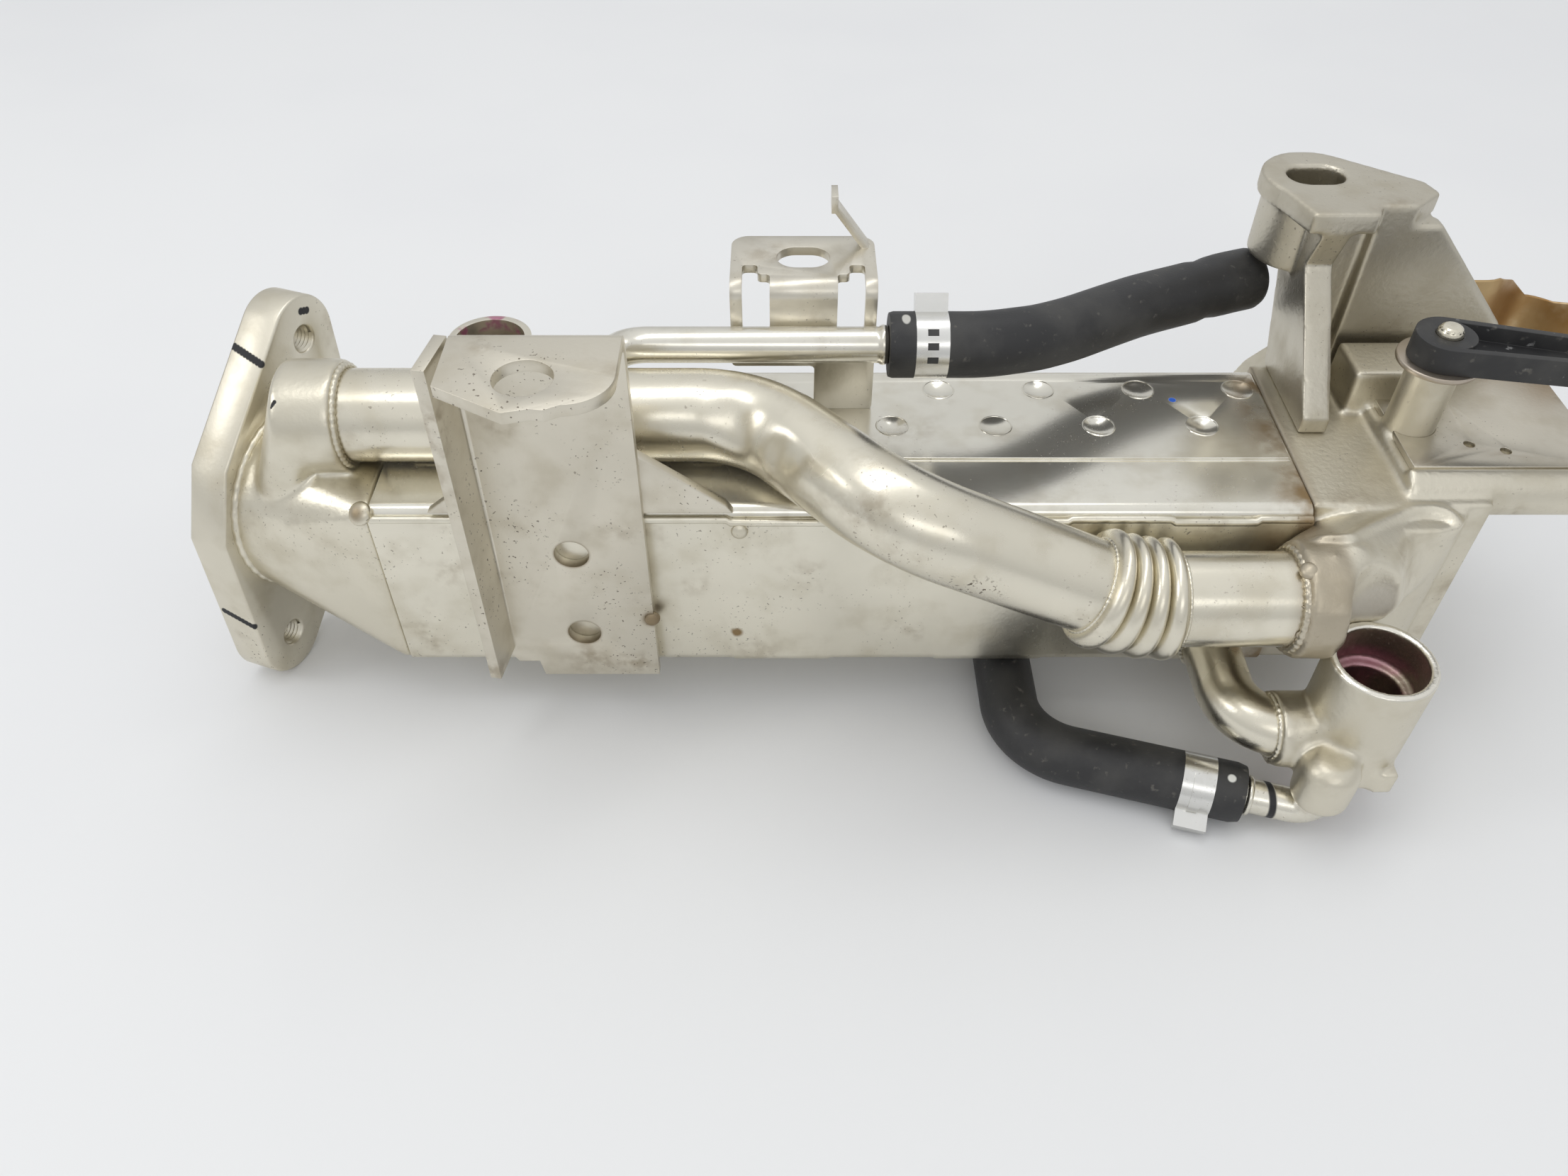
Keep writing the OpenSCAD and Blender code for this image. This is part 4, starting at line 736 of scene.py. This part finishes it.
def spring_band(radius, windows, place, tip, slant, tongue=(0, 0)):
    """Band round a hose along X, tipped about the hose, slanted about Z and set in its place."""
    bm = bmesh.new()
    across = (-CLAMP_W / 2, -STRIP_HALF, STRIP_HALF, CLAMP_W / 2)
    verts = [bm.verts.new((x, 0.0, radius)) for x in across]
    edges = [bm.edges.new(pair) for pair in zip(verts, verts[1:])]
    bmesh.ops.spin(bm, geom=verts + edges, cent=(0, 0, 0), axis=(1, 0, 0), angle=2 * math.pi,
                   steps=CLAMP_STEPS, use_merge=True)

    def angle_of(face):
        middle = face.calc_center_median()
        return math.degrees(math.atan2(-middle.y, middle.z))

    def on_strip(face, low, high):
        return abs(face.calc_center_median().x) < STRIP_HALF and low < angle_of(face) < high

    punched = [f for f in bm.faces if any(on_strip(f, low, high) for low, high in windows)]
    bmesh.ops.delete(bm, geom=punched, context="FACES")
    bmesh.ops.recalc_face_normals(bm, faces=bm.faces)
    for vert in lift_faces(bm, [f for f in bm.faces if abs(angle_of(f)) < EAR_HALF]):
        vert.co.z = radius + EAR_RISE
        vert.co.y *= EAR_FLARE
    raised = [f for f in bm.faces if on_strip(f, *tongue)]
    for vert in lift_faces(bm, raised) if raised else []:
        vert.co.yz = vert.co.yz * (1 + TONGUE_RISE / radius)
    bmesh.ops.recalc_face_normals(bm, faces=bm.faces)
    bmesh.ops.solidify(bm, geom=bm.faces[:], thickness=CLAMP_T)
    bmesh.ops.recalc_face_normals(bm, faces=bm.faces)
    stand = (Matrix.Translation(place) @ Matrix.Rotation(math.radians(-slant), 4, "Z")
             @ Matrix.Rotation(math.radians(tip), 4, "X"))
    bmesh.ops.transform(bm, matrix=stand, verts=bm.verts)
    return bm


clamp_finish = brazed_finish("clamp_spring", (0.74, 0.735, 0.71), 0.26, 0.25, 0.3, 0.00002).done()
WINDOWS = ((60, 72), (84, 96), (108, 120), (-150, -120))
finish_piece(spring_band(HOSE_R + 0.1, WINDOWS, (200.0, -1.5, 51.0), -30.0, 0.0), "hose_clamp_band",
             clamp_finish, ["hose_clamp"])

# %% [markdown]
# The lower hose turns under the core from its nipple to the spigot of the cast cup. It is moulded with
# its bend, so it keeps a full round section. A white paint dot marks its end, and a black marker band the
# spigot.

# %% Lower hose, its clamp and pipes
LOWER_Z, LOWER_SLANT, LOWER_R = -44.86, 16.0, 8.7
LOWER_END, LOWER_TURN = Vector((290.0, -84.0, LOWER_Z)), Vector((228.0, -66.22, LOWER_Z))
lower_way = (LOWER_END - LOWER_TURN).normalized()
lower_route = filled_route(bent_route([(228.0, -16.6, LOWER_Z), LOWER_TURN, LOWER_END], 20.9, 3.0), 2.5)
lower_outer = [LOWER_R - (0.6 if i in (0, len(lower_route) - 1) else 0.0) for i in range(len(lower_route))]
lower_rubber = rubber_finish("lower_rubber")
lower_rubber.coat(lower_rubber.spot((285.0, -84.6, -37.0), 1.5, 0.3), (0.75, 0.75, 0.7), 0.6)
lower_rubber.grain(lower_rubber.noise(1800, 2), 0.00012, 0.5)
finish_piece(hollow_tube(lower_route, lower_outer, [HOSE_BORE_R] * len(lower_route), 48),
             "lower_hose_rubber", lower_rubber.done(), ["lower_hose"], sharp=50.0)
lower_band = spring_band(LOWER_R + 0.1, ((100, 130),), LOWER_END - lower_way * 13, 115.0, LOWER_SLANT,
                         tongue=(-95, -18))
finish_piece(lower_band, "lower_clamp_band", clamp_finish, ["lower_clamp"])
BOSS = Vector((308.0, -89.16, LOWER_Z))
spigot_corners = [BOSS + Vector((0, 0, 12)), BOSS, LOWER_END - lower_way * 22]
spigot_route = filled_route(bent_route(spigot_corners, 6.0, 6.0), 2.0)
spigot_coat = brazed_finish("spigot_tube", (0.76, 0.73, 0.64), 0.28, 0.4, 0.4)
spigot_coat.coat(spigot_coat.spot((296.5, -86.0, LOWER_Z), 1.5, 0.3, (1.0, 6.0, 6.0)), MARKER, 0.5, 0.0)
spigot_bm = hollow_tube(spigot_route, [WATER_R] * len(spigot_route),
                        [WATER_R - WATER_WALL] * len(spigot_route), 40)
bead_ring(spigot_bm, LOWER_END + lower_way * 1.6, lower_way, WATER_R, 0.9, 0)
finish_piece(spigot_bm, "spigot_pipe_bent", spigot_coat.done(), ["spigot_pipe"], sharp=50.0)

# %% [markdown]
# The cup at the front is a small casting: a socket for a plug-in connector, a barrel for the tube from
# the core and a boss for the small spigot. Cast pieces get their soft corners from the voxel copy, and
# the boss is smoothed once more by itself. Coolant has stained its bottom pink, and its machined rim is
# the brightest part.

# %% Coolant casting and its tube
COLLAR_R, COLLAR_Y, COLLAR_Z, BOSS_PASSES = 10.75, -74.0, -27.75, 25
casting_bm = cad_copy("coolant_inlet_casting")
collar_stand = Matrix.Translation((301.0, COLLAR_Y, COLLAR_Z)) @ Matrix.Rotation(math.pi / 2, 4, "Y")
bmesh.ops.create_cone(casting_bm, cap_ends=True, segments=48, radius1=COLLAR_R, radius2=COLLAR_R,
                      depth=10.0, matrix=collar_stand)
casting_bm = cast_copy(casting_bm, 0.6, 4)
boss_skin = [v for v in casting_bm.verts if (v.co - BOSS - Vector((0, 0, 14))).length < 16]
for _ in range(BOSS_PASSES):
    bmesh.ops.smooth_vert(casting_bm, verts=boss_skin, factor=0.5, use_axis_x=True, use_axis_y=True,
                          use_axis_z=True)
press(casting_bm, (304.0, -80.0, -19.0), 5.0, (-0.4, -0.4, 0.5))
casting_coat = brazed_finish("casting_metal", CASTING, 0.4, 0.4, 0.45, 0.00014, 700)
inside = casting_coat.spot((318.0, -74.0, -12.0), 13.2, 0.06, (1.0, 1.0, 4.0))
casting_coat.coat(inside, (0.4, 0.35, 0.28), 0.4)
rim_z = max(v.co.z for v in casting_bm.verts)
deep = casting_coat.mask(casting_coat.axis("Z"), (rim_z - 9.0) * MM, (rim_z - 5.5) * MM, 1.0, 0.0)
blots = casting_coat.mask(casting_coat.noise(90, 3), 0.35, 0.6, 0.0, 0.6)
casting_coat.coat(casting_coat.times(casting_coat.times(inside, deep), blots), COOLANT_PINK, 0.45)
rim = casting_coat.mask(casting_coat.axis("Z"), (rim_z - 0.8) * MM, (rim_z - 0.3) * MM)
casting_coat.coat(rim, (0.82, 0.79, 0.71), 0.24)
finish_piece(casting_bm, "coolant_casting_skin", casting_coat.done(),
             ["coolant_inlet_casting"], sharp=180.0)
elbow_corners = [(312.0, COLLAR_Y, COLLAR_Z), (287.0, COLLAR_Y, COLLAR_Z), (287.0, -42.65, COLLAR_Z)]
elbow_route = filled_route(bent_route(elbow_corners, 14.85, 4.0), 2.0)
elbow_bm = hollow_tube(elbow_route, [8.25] * len(elbow_route), [7.05] * len(elbow_route), 48)
bead_ring(elbow_bm, (296.0, -72.9, COLLAR_Z), (1, 0, 0), 8.9, 0.8, 31)
bead_ring(elbow_bm, (287.0, -43.2, COLLAR_Z), (0, 1, 0), 8.6, 0.9, 31)
finish_piece(elbow_bm, "coolant_elbow_tube", brazed_finish("elbow_tube", TUBE, 0.3, 0.5, 0.4).done(),
             ["coolant_elbow"], sharp=60.0)

# %% [markdown]
# The end housing is the biggest casting: it closes the core, takes the bypass tail and carries the flap's
# shaft. A shallow hollow at its front right is pressed into the voxel skin, with a raised rim over it,
# and a low pad next to the tail stands where a feeder was cut off.

# %% Valve housing
housing_bm = cast_copy(cad_copy("valve_housing"), 0.85, 4)
press(housing_bm, (331.0, -54.0, 14.0), 13.0, (-1.7, 1.8, -1.0))
RIM = [(299.4, -52.9, 25.0), (306.7, -53.4, 26.1), (314.5, -48.3, 25.3), (325.5, -41.8, 23.7),
       (332.5, -39.7, 23.0), (339.0, -41.0, 23.0), (341.0, -45.0, 21.0)]
for place in smooth_route(RIM, 40):
    press(housing_bm, place, 3.0, (0.0, -0.3, 0.8))
press(housing_bm, (308.0, -58.0, 25.0), 6.0, (0.3, -0.2, 1.0))
tack(housing_bm, (294.0, -64.6, 24.8), 2.6, (-0.2, -0.3, 1))
housing_coat = brazed_finish("housing_casting", CASTING, 0.46, 0.45, 0.4, 0.00016, 700)
housing_coat.coat(housing_coat.mask(housing_coat.axis("X"), 0.303, 0.307, 0.55, 0.0), STAIN, 0.45)
housing_coat.coat(housing_coat.spot((317.0, -60.0, 9.0), 9.0, 0.6), (0.7, 0.66, 0.57), 0.62, 0.35)
housing_finish = housing_coat.done()
finish_piece(housing_bm, "valve_housing_casting", housing_finish, ["valve_housing"],
             sharp=180.0)

# %% [markdown]
# The tower stands on the housing and carries the cooler on the engine through a slotted hole. Its ribs
# meet in soft inner corners, which the smoothed voxel skin gives for free, also where the wall is cast
# thinner next to the rib.

# %% Mounting tower
tower_bm = cast_copy(cad_copy("mount_tower"), 0.7, 4)
# The tower is cast in the same metal as the housing. Its darker base colour is painted shade, standing in
# for faces that take less light.
tower_painted_shade_coat = brazed_finish("tower_casting", (0.57, 0.535, 0.45), 0.4, 0.5, 0.5, 0.00016, 700)
finish_piece(tower_bm, "mount_tower_casting", tower_painted_shade_coat.done(), ["mount_tower"],
             sharp=180.0)

# %% [markdown]
# What turns: the shaft with its rounded end, the seal disc and the black lever. They ride on the valve
# body, so they swing with the joint. The lever is a pressed channel with satin black paint that has worn
# at its edges.

# %% Shaft, disc and lever
lever_coat = rubber_finish("lever_paint")
lever_coat.coat(lever_coat.mask(lever_coat.noise(300, 4), 0.66, 0.74), (0.25, 0.25, 0.25), 0.4)
disc_coat = brazed_finish("disc_metal", (0.5, 0.44, 0.37), 0.36, 0.7, 0.4)
TURNING = {"valve_shaft": (1.0, 4, tube_bright, "shaft_steel"),
           "seal_disc": (0.35, 2, disc_coat.done(), "disc_steel"),
           "valve_lever": (0.8, 3, lever_coat.done(), "black_lever")}
for node, (width, segments, finish, slot) in TURNING.items():
    finish_piece(ease_edges(cad_copy(node), width, segments), node + "_eased", finish, [node],
                 body="valve")

# %% [markdown]
# The plate on the arm and the heat shield behind it are sheet steel that the exhaust has tinted brown.

# %% Arm plate and heat shield
plate_coat = brazed_finish("arm_plate_sheet", (0.64, 0.6, 0.51), 0.4, 0.6, 0.5)
finish_piece(ease_edges(cad_copy("actuator_plate"), 0.4), "actuator_plate_sheet", plate_coat.done(),
             ["actuator_plate"])
shield_coat = Finish("shield_sheet", (0.52, 0.37, 0.19), 0.42, 0.85)
shield_coat.coat(shield_coat.mask(shield_coat.noise(35, 5), 0.42, 0.65), (0.36, 0.21, 0.08), 0.5)
shield_coat.coat(shield_coat.mask(shield_coat.noise(60, 4), 0.58, 0.75), (0.68, 0.55, 0.36), 0.35)
shield_coat.grain(shield_coat.noise(500, 3), 0.0001, 0.5)
finish_piece(ease_edges(cad_copy("heat_shield"), 0.35, 2), "heat_shield_sheet", shield_coat.done(),
             ["heat_shield"], sharp=50.0)

# %% [markdown]
# What is hidden inside, or seen only through a hole, keeps its CAD solid: the tube bundle, the headers,
# the bushes, the flap and its screws. They only change their finish, to dull steel from inside the gas
# path.

# %% Inner pieces
inner_coat = brazed_finish("inner_steel", (0.45, 0.42, 0.36), 0.5)
inner_finish = inner_coat.done()
INNER = ("inlet_header", "outlet_header", "gas_tubes", "tube_baffles", "upper_bush", "lower_bush",
         "shaft_plug", "valve_flap", "flap_screws", "lower_nipple")
for node in INNER:
    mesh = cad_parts[node].data
    mesh.materials.clear()
    mesh.materials.append(inner_finish)
print(len(INNER), "inner nodes keep their solids")

# %% [markdown]
# A pale floor and a soft white room: the world, a little brighter overhead than at the horizon, gives the
# broad reflections that satin metal needs, and three weak lamps give the pipes their bright lines.

# %% Floor and light
floor_bm = bmesh.new()
bmesh.ops.create_grid(floor_bm, x_segments=1, y_segments=1, size=3.0)
floor_mesh = bpy.data.meshes.new("floor")
floor_bm.to_mesh(floor_mesh)
floor_bm.free()
floor_mesh.transform(Matrix.Translation((0.2, 0.0, cad_box[0][2])))
floor_finish = Finish("pale_floor", (0.83, 0.835, 0.84), 0.6, 0.0)
floor_finish.coat(floor_finish.mask(floor_finish.noise(6, 3), 0.4, 0.7), (0.81, 0.815, 0.825), 0.65)
floor_mesh.materials.append(floor_finish.done())
floor = bpy.data.objects.new("floor", floor_mesh)
bpy.context.scene.collection.objects.link(floor)


def lamp(name, place, size, power):
    data = bpy.data.lights.new(name, "AREA")
    data.shape = "RECTANGLE"
    data.size, data.size_y = size
    data.energy = power
    light = bpy.data.objects.new(name, data)
    light.location = place
    light.rotation_euler = (Vector((0.2, 0.0, 0.0)) - Vector(place)).to_track_quat("-Z", "Y").to_euler()
    bpy.context.scene.collection.objects.link(light)


lamp("overhead", (0.1, 0.1, 1.1), (1.2, 0.2), 2.2)
lamp("left_window", (-0.9, -0.2, 0.7), (0.35, 0.35), 1.6)
lamp("front_fill", (0.3, -1.1, 0.8), (0.9, 0.3), 1.0)
world = bpy.data.worlds.new("soft_room")
world.use_nodes = True
nodes, links = world.node_tree.nodes, world.node_tree.links
height = nodes.new("ShaderNodeSeparateXYZ")
links.new(nodes.new("ShaderNodeTexCoord").outputs["Generated"], height.inputs["Vector"])
glow = nodes.new("ShaderNodeMapRange")
glow.inputs["To Min"].default_value = 0.58
glow.inputs["To Max"].default_value = 0.9
links.new(height.outputs["Z"], glow.inputs["Value"])
links.new(glow.outputs["Result"], nodes["Background"].inputs["Strength"])
nodes["Background"].inputs["Color"].default_value = (0.98, 0.99, 1.0, 1.0)
bpy.context.scene.world = world
bpy.context.scene.view_settings.view_transform = "Standard"
